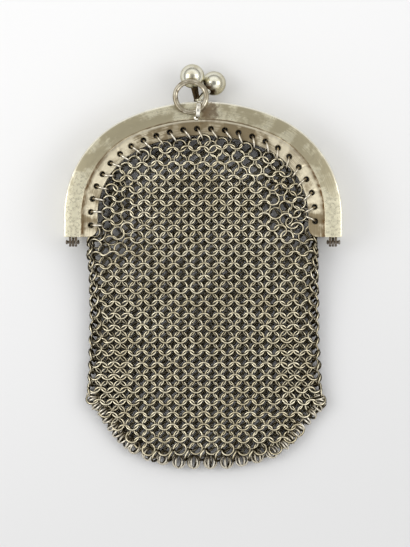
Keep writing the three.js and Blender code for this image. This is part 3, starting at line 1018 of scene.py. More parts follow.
@dataclass(frozen=True)
class FrameSizes:
    """Sizes that both frame halves share, in millimetres."""

    arch: ArchLine = field(default_factory=ArchLine)
    half_depth: float = 5.5
    parting_gap: float = 0.2
    sheet: float = 0.8
    band_width: float = 4.4
    flange_width: float = 4.0
    step_depth: float = 1.4
    edge_radius: float = 0.4
    crease_radius: float = 0.14
    flange_corner: float = 2.2
    holes_each_side: int = 12
    hole_spacing: float = 3.495
    hole_drift: float = 0.0072
    hole_shift: float = -1.53
    hole_radius: float = 0.68
    hole_bevel: float = 0.12
    hole_from_edge: float = 1.65
    front_arm_foot: float = -1.05
    back_arm_foot: float = -1.45

    @property
    def depth(self) -> float:
        """Thickness of the closed frame."""
        return 2 * self.half_depth + self.parting_gap

    @property
    def parting_height(self) -> float:
        """Height of the plane where the halves meet."""
        return self.depth / 2

    @property
    def width(self) -> float:
        """Width of the frame's face, from its outer edge to the flange's inner edge."""
        return self.band_width + self.flange_width

    @property
    def hole_inset(self) -> float:
        """Inset of the row of holes."""
        return self.width - self.hole_from_edge

    @property
    def flange_middle(self) -> float:
        """Depth of the flange's middle under the half's own face."""
        return self.step_depth + self.sheet / 2

    def height(self, depth: float, side: Side) -> float:
        """Turns a depth under a half's own face into a height."""
        return self.depth - depth if side is Side.FRONT else depth

    def arm_foot(self, side: Side) -> float:
        """Where the arm of a half's clasp ball stands, across the purse."""
        return self.front_arm_foot if side is Side.FRONT else self.back_arm_foot

    def hole_distances(self) -> list[float]:
        """Signed distances of the holes along the arch. They aren't spaced quite evenly."""
        numbers = np.arange(-self.holes_each_side, self.holes_each_side + 1)
        drift = self.hole_drift * numbers**2
        return list(self.hole_spacing * numbers + drift + self.hole_shift)


@dataclass
class FrameHalf:
    """One stamped half shell: band, step, drilled flange, outer wall, closed feet and knuckles."""

    workshop: Workshop
    side: Side
    sizes: FrameSizes = field(default_factory=FrameSizes)
    crown_steps: int = 44
    shoulder_steps: int = 36
    leg_steps: int = 12
    corner_steps: int = 3
    hole_sides: int = 20
    end_bevel: float = 0.12
    knuckle_radius: float = 1.15
    knuckle_length: float = 0.58
    knuckle_gap: float = 0.14
    knuckle_inset: float = 1.2
    knuckle_bevel: float = 0.1
    hinge_clearance: float = 0.15
    pin_bore: float = 0.52
    rivet_bore: float = 0.73

    BELOW_FEET = -0.03
    STEEP = 0.3

    def flange_width_at(self, height: float) -> float:
        """Width of the flange above the foot, where its inner corner is rounded off."""
        corner = self.sizes.flange_corner
        left = max(corner - height, 0.0)
        return self.sizes.flange_width - corner + math.sqrt(corner**2 - left**2)

    def profile(self, flange_width: float) -> Outline:
        """Draws the section of the sheet metal.

        Args:
            flange_width: width of the flange at this place.

        Returns:
            Inset and depth of each point.
        """
        s = self.sizes
        inner = s.band_width + flange_width
        under = s.band_width - s.sheet
        crease = s.crease_radius
        corners = [
            (0.0, 0.0, s.edge_radius), (s.band_width, 0.0, crease),
            (s.band_width, s.step_depth, crease), (inner, s.step_depth, crease),
            (inner, s.step_depth + s.sheet, crease), (under, s.step_depth + s.sheet, crease),
            (under, s.sheet, crease), (s.sheet, s.sheet, crease),
            (s.sheet, s.half_depth, crease), (0.0, s.half_depth, crease),
        ]
        return rounded_outline(corners, self.corner_steps)

    def spots(self) -> list[ArchSpot]:
        """Chooses the places along the arch where the section is drawn.

        Returns:
            The places from the left foot to the right foot.
        """
        arch = self.sizes.arch
        crown, shoulder = arch.lengths(0.0)
        distances = list(np.linspace(0.0, crown, self.crown_steps, endpoint=False))
        distances += list(np.linspace(crown, crown + shoulder, self.shoulder_steps, endpoint=False))
        turns = np.linspace(0.0, math.pi / 2, self.leg_steps)
        distances += list(crown + shoulder + arch.leg_length * np.sin(turns))
        right = [arch.spot(d, 0.0) for d in distances]
        left = [arch.spot(-d, 0.0) for d in reversed(distances[1:])]
        return left + right

    def shell(self) -> Mesh:
        """Makes the bare shell, with its cut ends eased.

        Returns:
            The shell's mesh.
        """
        sections = []
        for spot in self.spots():
            height = spot.point(0.0)[1]
            section = []
            for inset, depth in self.profile(self.flange_width_at(height)):
                x, y = spot.point(inset)
                section.append(Vector((x, y, self.sizes.height(depth, self.side))))
            sections.append(section)
        made = skin(sections)
        ends = [face for face in made.faces if len(face.verts) > 4]
        edges = list({edge for face in ends for edge in face.edges})
        bmesh.ops.bevel(
            made, geom=edges, offset=self.end_bevel, segments=2, profile=0.5, affect="EDGES"
        )
        return merged([made])

    def foot_plate(self, hand: Hand) -> Skin:
        """Makes the plate that closes the foot of one leg."""
        s = self.sizes
        edge = self.end_bevel
        outer, inner = s.arch.half_width - edge, s.arch.half_width - s.band_width + edge
        near, far = s.height(s.half_depth - edge, self.side), s.height(edge, self.side)
        return block((hand.value * outer, 0.0, near), (hand.value * inner, s.sheet, far))

    def knuckle(self, hand: Hand, index: int) -> list[Skin]:
        """Makes one knuckle of a hinge and its neck.

        Args:
            hand: which leg.
            index: place of the knuckle, from the outside in.

        Returns:
            The barrel and the neck.
        """
        s = self.sizes
        start = s.arch.half_width - self.knuckle_inset
        start -= index * (self.knuckle_length + self.knuckle_gap)
        drop = self.knuckle_radius + self.hinge_clearance
        edge = self.knuckle_bevel
        length, radius = self.knuckle_length, self.knuckle_radius
        profile = [
            (0.0, radius - edge), (edge, radius),
            (length - edge, radius), (length, radius - edge),
        ]
        base = Vector((hand.value * start, -drop, s.parting_height))
        barrel = turned(base, hand.inwards, profile, 32)
        near = s.height(s.half_depth, self.side)
        far = s.height(s.parting_height - radius, self.side)
        corner = (hand.value * (start - length), s.sheet / 2, far)
        return [barrel, block((hand.value * start, -drop, near), corner)]

    def hole_cutters(self) -> list[Skin]:
        """Makes a drill with a bevel at each face of the flange, for every hole."""
        s = self.sizes
        face, mouth = s.sheet / 2, s.hole_radius + s.hole_bevel
        profile = [
            (-s.sheet, mouth + face), (-face, mouth), (-face + s.hole_bevel, s.hole_radius),
            (face - s.hole_bevel, s.hole_radius), (face, mouth), (s.sheet, mouth + face),
        ]
        middle = s.height(s.flange_middle, self.side)
        cutters = []
        for distance in s.hole_distances():
            x, y = s.arch.spot(distance, s.hole_inset).point(s.hole_inset)
            cutters.append(turned(Vector((x, y, middle)), Z_AXIS, profile, self.hole_sides))
        return cutters

    def bores(self) -> list[Skin]:
        """Makes the drills for the hinge pins and for the clasp's rivet."""
        s = self.sizes
        cutters = []
        for hand in Hand:
            outer = s.arch.half_width + 1
            drop = self.knuckle_radius + self.hinge_clearance
            base = Vector((hand.value * outer, -drop, s.parting_height))
            profile = [(0.0, self.pin_bore), (s.band_width + 1, self.pin_bore)]
            cutters.append(turned(base, hand.inwards, profile, 20))
        x = s.arm_foot(self.side)
        y = s.arch.edge_at(x) - 2 * s.sheet
        base = Vector((x, y, s.height((s.half_depth + s.sheet) / 2, self.side)))
        profile = [(0.0, self.rivet_bore), (3 * s.sheet, self.rivet_bore)]
        cutters.append(turned(base, Y_AXIS, profile, 20))
        return cutters

    def mark(self, mesh: Mesh) -> None:
        """Writes the arch map, and gives each face its finish: band, flange or hole wall, which is
        painted shade.

        Args:
            mesh: the finished half, in drawing millimetres.
        """
        s = self.sizes
        arch_map = mesh.uv_layers.get(ARCH_MAP) or mesh.uv_layers.new(name=ARCH_MAP)
        spots = [s.arch.unroll(v.co.x, v.co.y, s.hole_inset) for v in mesh.vertices]
        for loop in mesh.loops:
            arch_map.data[loop.index].uv = spots[loop.vertex_index]
        holes = np.array(s.hole_distances())
        face_height = s.height(0.0, self.side)
        for face in mesh.polygons:
            along, inset = s.arch.unroll(face.center.x, face.center.y, s.hole_inset)
            depth = abs(face.center.z - face_height)
            near = math.hypot(np.abs(holes - along).min(), inset - s.hole_inset)
            on_flange = inset > s.band_width - s.crease_radius / 2 and depth > s.crease_radius
            if face.center.y < self.BELOW_FEET:
                face.material_index = 3
            # Hole walls take the inside finish, which paints shade in the holes.
            elif on_flange and near < s.hole_radius + s.hole_bevel and abs(face.normal.z) < self.STEEP:
                face.material_index = 2
            elif on_flange or (depth > s.sheet and inset > s.sheet / 2 and face.center.y > s.sheet):
                face.material_index = 1
            else:
                face.material_index = 0

    def build(self) -> None:
        """Builds the half and hands it over."""
        indices = [0, 2] if self.side is Side.FRONT else [1]
        plates = merged([self.foot_plate(hand) for hand in Hand])
        knuckles = [part for hand in Hand for i in indices for part in self.knuckle(hand, i)]
        cuts = merged(self.hole_cutters() + self.bores())
        join, cut = MeshOperation.JOIN, MeshOperation.CUT
        mesh = worked(self.shell(), [(join, plates), (join, merged(knuckles)), (cut, cuts)])
        self.mark(mesh)
        finishes = self.workshop.finishes
        materials = [finishes.band, finishes.flange, finishes.inside, finishes.steel]
        node = f"{self.side.value}_frame"
        self.workshop.deliver(f"{node}_shell", mesh, materials, "frame_silver", [node])


@dataclass
class CarryRing:
    """The loose ring at the top, and the soldered staple that it hangs in."""

    workshop: Workshop
    frame: FrameSizes = field(default_factory=FrameSizes)
    radius: float = 3.9
    wire_radius: float = 0.55
    wire_width: float = 0.66
    swing: float = math.radians(119.0)
    tilt: float = math.radians(8.0)
    lift: float = 0.3
    staple_offset: float = -1.2
    staple_margin: float = 0.1
    staple_thickness: float = 0.5
    staple_width: float = 1.1
    staple_clearance: float = 0.65
    staple_turn: float = math.radians(4.0)
    staple_corner: float = 0.18
    bead_radius: float = 0.8
    ring_steps: int = 72
    wire_sides: int = 16
    bow_steps: int = 20

    def staple_middle(self) -> Vector:
        """Finds the middle of the staple on the band's face."""
        y = self.frame.arch.edge_at(self.staple_offset) - self.frame.band_width / 2
        return Vector((self.staple_offset, y, self.frame.depth))

    def ring_height(self, y: float) -> float:
        """Height of the ring's centre line over the band at one y."""
        lift = (self.wire_radius + self.lift) / math.cos(self.tilt)
        return lift + (self.frame.arch.top - y) * math.tan(self.tilt)

    def ring(self) -> None:
        """Builds the ring, slightly flattened and out of true, as hand-bent wire is."""
        centre = self.staple_middle()
        centre.x += self.radius * math.cos(self.swing)
        centre.y += self.radius * math.sin(self.swing) * math.cos(self.tilt)
        centre.z += self.ring_height(centre.y)
        turn = Matrix.Rotation(-self.tilt, 3, "X")
        path, sections = [], []
        for i in range(self.ring_steps):
            angle = 2 * math.pi * i / self.ring_steps
            wobble = 0.035 * math.sin(3 * angle + 0.6) + 0.02 * math.sin(5 * angle)
            arm = Vector((math.cos(angle), math.sin(angle), 0.0)) * (self.radius + wobble)
            path.append(centre + turn @ arm)
            thinned = 1.0 - 0.06 * max(math.cos(angle - self.swing - math.pi), 0.0) ** 4
            radius = self.wire_radius * thinned
            sections.append(circle(radius, self.wire_sides, self.wire_width / self.wire_radius))
        mesh = merged([sweep(path, turn @ Z_AXIS, sections, closed=True)])
        finish = self.workshop.finishes.wire_ring
        self.workshop.deliver("carry_ring_wire", mesh, [finish], "frame_silver", ["carry_ring"])

    def staple(self) -> None:
        """Builds the bent strip with the solder bead at its foot."""
        middle = self.staple_middle()
        radius = self.frame.band_width / 2 - self.staple_margin - self.staple_thickness / 2
        leg = self.ring_height(middle.y) + self.wire_radius + self.staple_clearance
        leg -= radius - self.staple_thickness / 2
        along = Vector((math.sin(self.staple_turn), math.cos(self.staple_turn), 0.0))
        sunk = -self.frame.sheet / 2
        bow = [(radius, sunk), (radius, 0.0), (radius, leg / 2)]
        for i in range(self.bow_steps + 1):
            angle = math.pi * i / self.bow_steps
            bow.append((radius * math.cos(angle), leg + radius * math.sin(angle)))
        bow += [(-radius, leg / 2), (-radius, 0.0), (-radius, sunk)]
        path = [middle + along * u + Z_AXIS * w for u, w in bow]
        half_width, half_thickness = self.staple_width / 2, self.staple_thickness / 2
        signs = ((-1, -1), (1, -1), (1, 1), (-1, 1))
        corners = [(half_width * u, half_thickness * w, self.staple_corner) for u, w in signs]
        outline = rounded_outline(corners, 4)
        strip = sweep(path, along.cross(Z_AXIS), [outline] * len(path))
        beads = []
        for sign, shift in ((-1, -0.35), (1, 0.1)):
            foot = middle + along * (sign * radius) + Vector((shift, 0.0, -0.25))
            beads.append(self.bead(foot, self.bead_radius * (1.0 if sign < 0 else 0.8)))
        mesh = worked(merged([strip]), [(MeshOperation.JOIN, merged([bead])) for bead in beads])
        finish = self.workshop.finishes.staple
        self.workshop.deliver("ring_staple", mesh, [finish], "frame_silver", ["front_frame"])

    def bead(self, centre: Vector, radius: float) -> Skin:
        """Makes a flattened blob of solder.

        Args:
            centre: its middle.
            radius: its radius along the band.

        Returns:
            The blob.
        """
        profile = []
        steps = 10
        for i in range(steps + 1):
            angle = math.pi * (i + 0.35) / (steps + 0.7)
            profile.append((-0.75 * radius * math.cos(angle), radius * math.sin(angle)))
        return turned(centre, Z_AXIS, profile, 24)

    def build(self) -> None:
        """Builds the ring and its staple."""
        self.ring()
        self.staple()


@dataclass
class ClaspBall:
    """One ball of the clasp with its arm, collar and rivet. The left one stands on the back half."""

    workshop: Workshop
    side: Side
    frame: FrameSizes = field(default_factory=FrameSizes)
    ball_radius: float = 3.05
    spread: float = 2.72
    gap: float = 0.3
    left_height: float = 6.5
    right_height: float = 4.8
    foot_radius: float = 0.7
    tip_radius: float = 1.05
    collar_radius: float = 0.9
    collar_height: float = 0.4
    tenon_radius: float = 0.45
    clearance: float = 0.28
    rivet_radius: float = 0.9
    rivet_height: float = 0.45
    ball_steps: int = 30
    sides: int = 28
    arm_steps: int = 14
    # Where the painted shade under each ball starts, and how far it runs until it is full.
    shade_from: Mapping[Side, float] = field(
        default_factory=lambda: {Side.FRONT: 0.55, Side.BACK: 0.4}
    )
    shade_run: float = 0.45

    def centre(self) -> Vector:
        """Finds the ball's centre."""
        rise = self.left_height - self.right_height
        apart = 2 * self.ball_radius + self.gap
        over = math.sqrt(apart**2 - (2 * self.spread) ** 2 - rise**2) / 2
        top, parting = self.frame.arch.top, self.frame.parting_height
        if self.side is Side.FRONT:
            return Vector((self.spread, top + self.right_height, parting - over))
        return Vector((-self.spread, top + self.left_height, parting + over))

    def foot(self) -> Vector:
        """Finds where the arm stands on the outer wall."""
        x = self.frame.arm_foot(self.side)
        depth = (self.frame.half_depth + self.frame.sheet) / 2
        return Vector((x, self.frame.arch.edge_at(x), self.frame.height(depth, self.side)))

    def arm(self) -> Skin:
        """Makes the tapered arm, which flares where it is soldered to the ball."""
        start = self.foot() + Vector((0.0, self.clearance, 0.0))
        end = self.centre()
        path, sections = [], []
        for i in range(self.arm_steps + 1):
            share = i / self.arm_steps
            bow = 0.25 * math.sin(math.pi * share)
            point = start.lerp(end, share) + Vector((0.0, 0.0, bow * (end.z > start.z) * 0.5))
            path.append(point)
            radius = self.foot_radius + (self.tip_radius - self.foot_radius) * share
            radius += 0.25 * max(share - 0.45, 0.0)
            sections.append(circle(radius, self.sides, 0.85))
        return sweep(path, Vector((1.0, 0.0, 0.0)), sections)

    def turned_foot(self) -> Skin:
        """Makes the collar, the tenon through the wall, and the rivet head behind it."""
        inside = -self.frame.sheet - self.clearance
        top = self.clearance + self.collar_height
        ease, gap, collar = 0.1, self.clearance, self.collar_radius
        rivet, high = self.rivet_radius, self.rivet_height
        profile = [
            (inside - high, rivet * 0.55), (inside - high * 0.7, rivet * 0.85),
            (inside - high * 0.3, rivet), (inside, rivet),
            (inside + ease / 4, self.tenon_radius), (gap - ease / 4, self.tenon_radius),
            (gap, collar - ease), (gap + ease, collar), (top - ease, collar), (top, collar - ease),
        ]
        return turned(self.foot(), Y_AXIS, profile, self.sides)

    def ball(self) -> Skin:
        """Makes the ball."""
        made = bmesh.new()
        steps = {"u_segments": 2 * self.ball_steps, "v_segments": self.ball_steps}
        place = Matrix.Translation(self.centre())
        bmesh.ops.create_uvsphere(made, **steps, radius=self.ball_radius, matrix=place)
        return made

    def paint_shade(self, mesh: Mesh) -> None:
        """Marks painted shade: under the ball, and a painted shadow on the arm that the front one
        shades.

        Args:
            mesh: the finished ball and arm.
        """
        centre = self.centre()
        under = (self.foot() - centre).normalized()
        # Painted shadow on the arms: light on the front arm, deep on the back arm that the front ball
        # shades.
        arm = 0.25 if self.side is Side.FRONT else 0.95
        start = self.shade_from[self.side]
        values = []
        for vertex in mesh.vertices:
            way = vertex.co - centre
            if way.length > self.ball_radius + 0.05:
                values.append(arm)
                continue
            low = way.dot(under) / self.ball_radius
            values.append(min(max((low - start) / self.shade_run, 0.0), 1.0))
        mesh.attributes.new(PAINTED_SHADE_MARK, "FLOAT", "POINT").data.foreach_set("value", values)

    def build(self) -> None:
        """Builds the ball and its arm as one body."""
        parts = [merged([part]) for part in (self.ball(), self.arm(), self.turned_foot())]
        mesh = worked(parts[0], [(MeshOperation.JOIN, part) for part in parts[1:]])
        self.paint_shade(mesh)
        hand = "right" if self.side is Side.FRONT else "left"
        finish = self.workshop.finishes.polished
        node = f"{hand}_clasp_ball"
        self.workshop.deliver(f"{hand}_ball_and_arm", mesh, [finish], "ball_silver", [node])


@dataclass
class HingePin:
    """The headed pin through the three knuckles of one hinge."""

    workshop: Workshop
    hand: Hand
    frame: FrameSizes = field(default_factory=FrameSizes)
    radius: float = 0.38
    head_radius: float = 0.6
    head_length: float = 0.45
    stand_out: float = 0.4
    knuckle_inset: float = 1.2
    knuckle_run: float = 2.16
    drop: float = 1.3
    sides: int = 24

    def build(self) -> None:
        """Turns the pin with its two rounded heads."""
        outer = self.frame.arch.half_width - self.knuckle_inset + self.stand_out
        length = self.knuckle_run + self.stand_out
        head, ease = self.head_length, 0.12
        profile = [
            (-head, self.head_radius * 0.5), (-head + ease, self.head_radius * 0.85),
            (-head + 2 * ease, self.head_radius), (-ease / 4, self.head_radius),
            (0.0, self.radius), (length, self.radius),
            (length + ease / 4, self.head_radius), (length + head - 2 * ease, self.head_radius),
            (length + head - ease, self.head_radius * 0.85), (length + head, self.head_radius * 0.5),
        ]
        base = Vector((self.hand.value * outer, -self.drop, self.frame.parting_height))
        mesh = merged([turned(base, self.hand.inwards, profile, self.sides)])
        hand = self.hand.name.lower()
        node = f"{hand}_hinge_pin"
        finish = self.workshop.finishes.steel
        self.workshop.deliver(f"{node}_turned", mesh, [finish], "pin_steel", [node])


@dataclass(frozen=True)
class RingPose:
    """How one ring lies.

    Args:
        centre: its centre.
        axis: direction of its axis.
        across: a direction in its plane.
        outward: the way out of the bag, which the ring's rubbed and painted bright faces look.
    """

    centre: Vector
    axis: Vector
    across: Vector
    outward: Vector


@dataclass(frozen=True)
class BagLevel:
    """One section of the bag below the hinge, in shares of the sizes that it follows.

    Args:
        drop: share of the bag's length.
        left: share of its half width, on the left.
        right: share of its half width, on the right.
        room: share of the thickness of the space at the rim.
        edge: share of its thickness that it keeps at its sides.
        lift: share of the rim's height above the ground.
        sag: share of the sag.
    """

    drop: float
    left: float
    right: float
    room: float
    edge: float
    lift: float = 0.0
    sag: float = 0.0


# drop, left, right, room, edge, lift, sag
BAG_LEVELS = tuple(BagLevel(*row) for row in (
    (0.0, 0.985, 0.98, 1.0, 0.85, 1.0, 1.0),
    (0.015, 0.988, 0.983, 1.0, 0.75, 0.7, 1.0),
    (0.06, 0.995, 0.99, 0.93, 0.55),
    (0.16, 0.975, 0.985, 0.72, 0.38),
    (0.34, 0.97, 0.99, 0.42, 0.32),
    (0.52, 0.98, 1.0, 0.24, 0.32),
    (0.66, 1.0, 1.025, 0.17, 0.35),
    (0.705, 1.01, 1.07, 0.16, 0.4),
    (0.735, 0.97, 1.045, 0.15, 0.4),
    (0.775, 0.895, 0.985, 0.15, 0.4),
    (0.825, 0.835, 0.895, 0.14, 0.4),
    (0.88, 0.75, 0.81, 0.14, 0.4),
    (0.92, 0.66, 0.725, 0.13, 0.4),
    (0.955, 0.54, 0.61, 0.13, 0.45),
    (0.98, 0.38, 0.45, 0.12, 0.5),
    (1.0, 0.2, 0.24, 0.12, 0.6),
))


@dataclass(frozen=True)
class BagForm:
    """The form that the ring mesh hangs in: the middle surface of its front and back sheets."""

    frame: FrameSizes = field(default_factory=FrameSizes)
    length: float = 58.7
    inset: float = 5.6
    thickness: float = 1.6
    rim_gap: float = 0.35
    sheet_sag: float = 0.6
    side_cover: float = 0.85
    full_width_end: float = -41.0
    fine_steps: int = 60

    @property
    def half_width(self) -> float:
        """Half the bag's width at the hinge."""
        return self.frame.arch.half_width - self.inset

    @lru_cache(maxsize=None)
    def level(self, y: float) -> BagLevel:
        """Works out the section at one height below the hinge.

        Args:
            y: height, 0 or less.

        Returns:
            The section between its two neighbours in the table.
        """
        drop = min(max(-y / self.length, 0.0), 1.0)
        columns = np.array([astuple(row) for row in BAG_LEVELS]).T
        return BagLevel(*(float(np.interp(drop, columns[0], column)) for column in columns))

    def reach(self, y: float, hand: int) -> float:
        """Half width of the outline on one side at one height below the hinge."""
        row = self.level(y)
        return self.half_width * (row.left if hand < 0 else row.right)

    def height(self, x: float, y: float, side: Side) -> float:
        """Finds the height of a sheet's middle surface.

        Args:
            x: across the purse.
            y: along the purse.
            side: which sheet.

        Returns:
            The height above the ground.
        """
        rim_height = self.frame.flange_middle - self.thickness / 2
        room = self.frame.depth - 2 * self.frame.flange_middle - self.thickness
        if y > 0:
            rise = min(y / (self.frame.arch.top - self.frame.width - self.rim_gap), 1.0)
            t = min(abs(x) / (self.half_width * BAG_LEVELS[0].left), 1.0)
            hang = self.sheet_sag * (1 - rise**2) * (1 - t**2)
            return self.frame.height(self.frame.flange_middle, side) - hang
        row = self.level(y)
        t = min(abs(x) / self.reach(y, 1 if x >= 0 else -1), 1.0)
        low = row.lift * rim_height
        high = low + row.room * room + 2 * self.thickness
        half = (high - low) / 2 - self.thickness / 2
        rounded = row.edge + (1 - row.edge) * (1 - t**6) ** (1 / 3)
        sign = 1 if side is Side.FRONT else -1
        return (high + low) / 2 + sign * half * rounded - row.sag * self.sheet_sag * (1 - t**2)

    @lru_cache(maxsize=None)
    def side_run(self, y: float, hand: int, side: Side) -> np.ndarray:
        """Draws half of a sheet's section, from its middle out and round to the side's middle.

        Args:
            y: height below the hinge.
            hand: -1 for the left and 1 for the right.
            side: which sheet.

        Returns:
            Rows of distance along the section, x and height.
        """
        reach = self.reach(y, hand)
        turns = np.linspace(0.0, math.pi / 2, self.fine_steps)
        outer = (reach - self.side_cover) * np.sin(turns)
        heights = [self.height(hand * x * reach / (reach - self.side_cover), y, side) for x in outer]
        middle = (self.height(hand * reach, y, Side.FRONT) + self.height(hand * reach, y, Side.BACK)) / 2
        xs = np.append(outer, outer[-1]) * hand
        zs = np.append(heights, middle)
        steps = np.hypot(np.diff(xs), np.diff(zs))
        return np.column_stack((np.insert(np.cumsum(steps), 0, 0.0), xs, zs))


@dataclass
class MeshLayout:
    """Where the rings of the bag lie, in the common weave of four rings through each ring.

    Rings whose bottom stands out lie at half columns, and rings whose top stands out at whole
    columns, half a row higher.
    """

    form: BagForm = field(default_factory=BagForm)
    ring_radius: float = 1.6
    wire_radius: float = 0.28
    middle_x: float = 0.2
    top_row: float = 22.0
    row_pitch: float = 3.148
    row_count: int = 25
    upper_pitch: float = 3.76
    lower_pitch: float = 4.02
    side_column: int = 8
    even_columns: float = 5.0
    lean: float = math.radians(23.0)
    rim_inset: float = 10.3
    below_legs: float = -1.9
    tucked_columns: float = 6.5
    tucked_top: float = 2.0
    squeeze: float = 0.66
    outline_margin: float = 1.75
    lowest_row: float = -55.4
    turned_rows: float = -54.6
    last_swing: float = math.radians(64.0)
    back_slip: float = 0.25
    back_drop: float = 0.8
    side_highlight_tilt: float = 1.5
    ground_gap: float = 0.15

    def pitch(self, y: float) -> float:
        """Distance between two columns of one lean at one height."""
        share = min(max(-y / self.form.length, 0.0), 1.0)
        return self.upper_pitch + (self.lower_pitch - self.upper_pitch) * share

    def place(self, column: float, y: float, side: Side) -> Vector:
        """Finds a point of the sheet's middle surface.

        Args:
            column: column number, 0 in the middle and side_column at the side.
            y: height along the purse.
            side: which sheet.

        Returns:
            The point.
        """
        form = self.form
        pitch = self.pitch(y)
        hand = -1 if column < 0 else 1
        count = abs(column)
        if y > self.below_legs and count < self.tucked_columns:
            x = self.middle_x + pitch * column
            return Vector((x, y, form.height(x, y, side)))
        level = min(max(y, form.full_width_end), 0.0)
        run = form.side_run(level, hand, side)
        even = self.even_columns * pitch + hand * self.middle_x
        rest = (run[-1, 0] - even) / (self.side_column - self.even_columns)
        along = hand * self.middle_x + pitch * count
        if count > self.even_columns:
            along = even + rest * (count - self.even_columns)
        x = float(np.interp(along, run[:, 0], run[:, 1]))
        z = float(np.interp(along, run[:, 0], run[:, 2]))
        if y < form.full_width_end:
            z = form.height(x, y, side)
        squeeze = float(np.interp(y, [2 * self.below_legs, self.below_legs], [1.0, self.squeeze]))
        if count >= self.tucked_columns:
            middle = form.frame.parting_height
            z = middle + (z - middle) * squeeze
        return Vector((x, y, z))

    def pose(self, column: float, y: float, side: Side, lean: Lean) -> RingPose:
        """Works out how one ring of a sheet lies.

        Args:
            column: its column number.
            y: its height along the purse.
            side: which sheet.
            lean: which of its ends stands out.

        Returns:
            The ring's pose.
        """
        centre = self.place(column, y, side)
        step = 0.25
        around = self.place(column + step, y, side) - self.place(column - step, y, side)
        if abs(column) + step > self.side_column:
            around = Vector((0.0, 0.0, 1.0))
        up = self.place(column, y + step, side) - self.place(column, y - step, side)
        outward = around.cross(up).normalized()
        towards = Vector((math.copysign(0.01, column), 0.0, 1.0 if side is Side.FRONT else -1.0))
        if abs(column) > self.side_column - step:
            towards = Vector((math.copysign(1.0, column), 0.0, 0.0))
        if outward.dot(towards) < 0:
            outward = -outward
        up = (up - outward * up.dot(outward)).normalized()
        across = up.cross(outward)
        axis = outward * math.cos(self.lean) + up * (lean.value * math.sin(self.lean))
        wild = self.wildness(centre)
        swing = self.swing(column, centre, wild)
        if y < self.turned_rows:
            swing = self.last_swing + 0.3 * noise.noise(centre * 0.5)
        nod = 0.16 * wild * noise.noise(centre * 0.16 + Vector((31.0, 7.0, 0.0)))
        turn = Matrix.Rotation(swing, 3, up) @ Matrix.Rotation(nod, 3, across)
        shift = noise.noise_vector(centre * 0.11 + Vector((0.0, 0.0, 5.0)))
        centre = centre + (across * shift.x + up * shift.y) * 0.35 * (0.3 + wild)
        axis = turn @ axis
        centre.z = max(centre.z, self.resting_height(axis) + self.ground_gap)
        # Painted highlight: the front sheet's side rings have their bright faces turned up towards the
        # camera, so that their tops look lit.
        if side is Side.FRONT and abs(column) > self.side_column - 3 * step:
            outward = (outward + Z_AXIS * self.side_highlight_tilt).normalized()
        return RingPose(centre, axis, turn @ across, outward)

    def resting_height(self, axis: Vector) -> float:
        """Least height of a ring's centre at which the ring stays off the ground."""
        return self.ring_radius * math.sqrt(max(1 - axis.z**2, 0.0)) + self.wire_radius

    def wildness(self, centre: Vector) -> float:
        """How unruly the rings are, from the calm middle to the sides and lower corners."""
        sideways = min(abs(centre.x) / self.form.half_width, 1.0) ** 3
        lower = min(max(-centre.y / self.form.length, 0.0), 1.0) ** 3
        return 0.25 + 0.6 * sideways + 0.3 * lower + 1.3 * sideways * lower

    def swing(self, column: float, centre: Vector, wild: float) -> float:
        """Angle that a ring turns about the sheet's length, so that crowded rings pass each other."""
        crowd = min(max(abs(column) - self.even_columns, 0.0) / 2.0, 1.0)
        wave = noise.noise(centre * 0.09 + Vector((3.0, 11.0, 0.0)))
        return 0.17 * crowd * math.copysign(1.0, column) + 0.3 * wild * wave

    def fits(self, place: Vector, column: float) -> bool:
        """Whether a ring has room between the rim, the feet of the legs and the bag's outline.

        Args:
            place: the ring's centre.
            column: its column number.

        Returns:
            True if the ring is part of the sheet.
        """
        x, y = place.x, place.y
        arch = self.form.frame.arch
        if self.below_legs < y < self.tucked_top and abs(column) >= self.tucked_columns:
            return True
        if y > 0:
            return arch.unroll(x, y, 0.0)[1] >= self.rim_inset
        if y > self.below_legs:
            return abs(x) < arch.half_width - self.rim_inset
        if y < self.lowest_row:
            return False
        if y < self.form.full_width_end + 0.6:
            return self.outline_distance(x, y) >= self.outline_margin
        return True

    def outline(self) -> Outline:
        """Draws the bag's lower outline, from its left corner down and round to the right."""
        rows = [row for row in BAG_LEVELS if row.drop > 0.6]
        half = self.form.half_width
        left = [(-row.left * half, -row.drop * self.form.length) for row in rows]
        right = [(row.right * half, -row.drop * self.form.length) for row in reversed(rows)]
        return left + right

    def outline_distance(self, x: float, y: float) -> float:
        """Signed distance of a point from the lower outline, positive inside."""
        hand = 1 if x >= 0 else -1
        inside = abs(x) < self.form.reach(y, hand) and y > -self.form.length
        points = self.outline()
        nearest = math.inf
        for (ax, ay), (bx, by) in zip(points, points[1:]):
            span = Vector((bx - ax, by - ay))
            share = (Vector((x - ax, y - ay)).dot(span)) / max(span.length_squared, 1e-9)
            share = min(max(share, 0.0), 1.0)
            nearest = min(nearest, math.hypot(x - ax - span.x * share, y - ay - span.y * share))
        return nearest if inside else -nearest

    def slipped(self, column: float, y: float) -> tuple[float, float]:
        """Moves a ring of the back sheet, which doesn't lie exactly under the front one.

        Args:
            column: the ring's column.
            y: its height.

        Returns:
            Its column and height after the slip.
        """
        middle = 1 - (column / self.side_column) ** 2
        wave = noise.noise(Vector((column * 0.14, y * 0.05, 2.0)))
        return column + (self.back_slip + 0.12 * wave) * middle, y - self.back_drop - 0.2 * wave

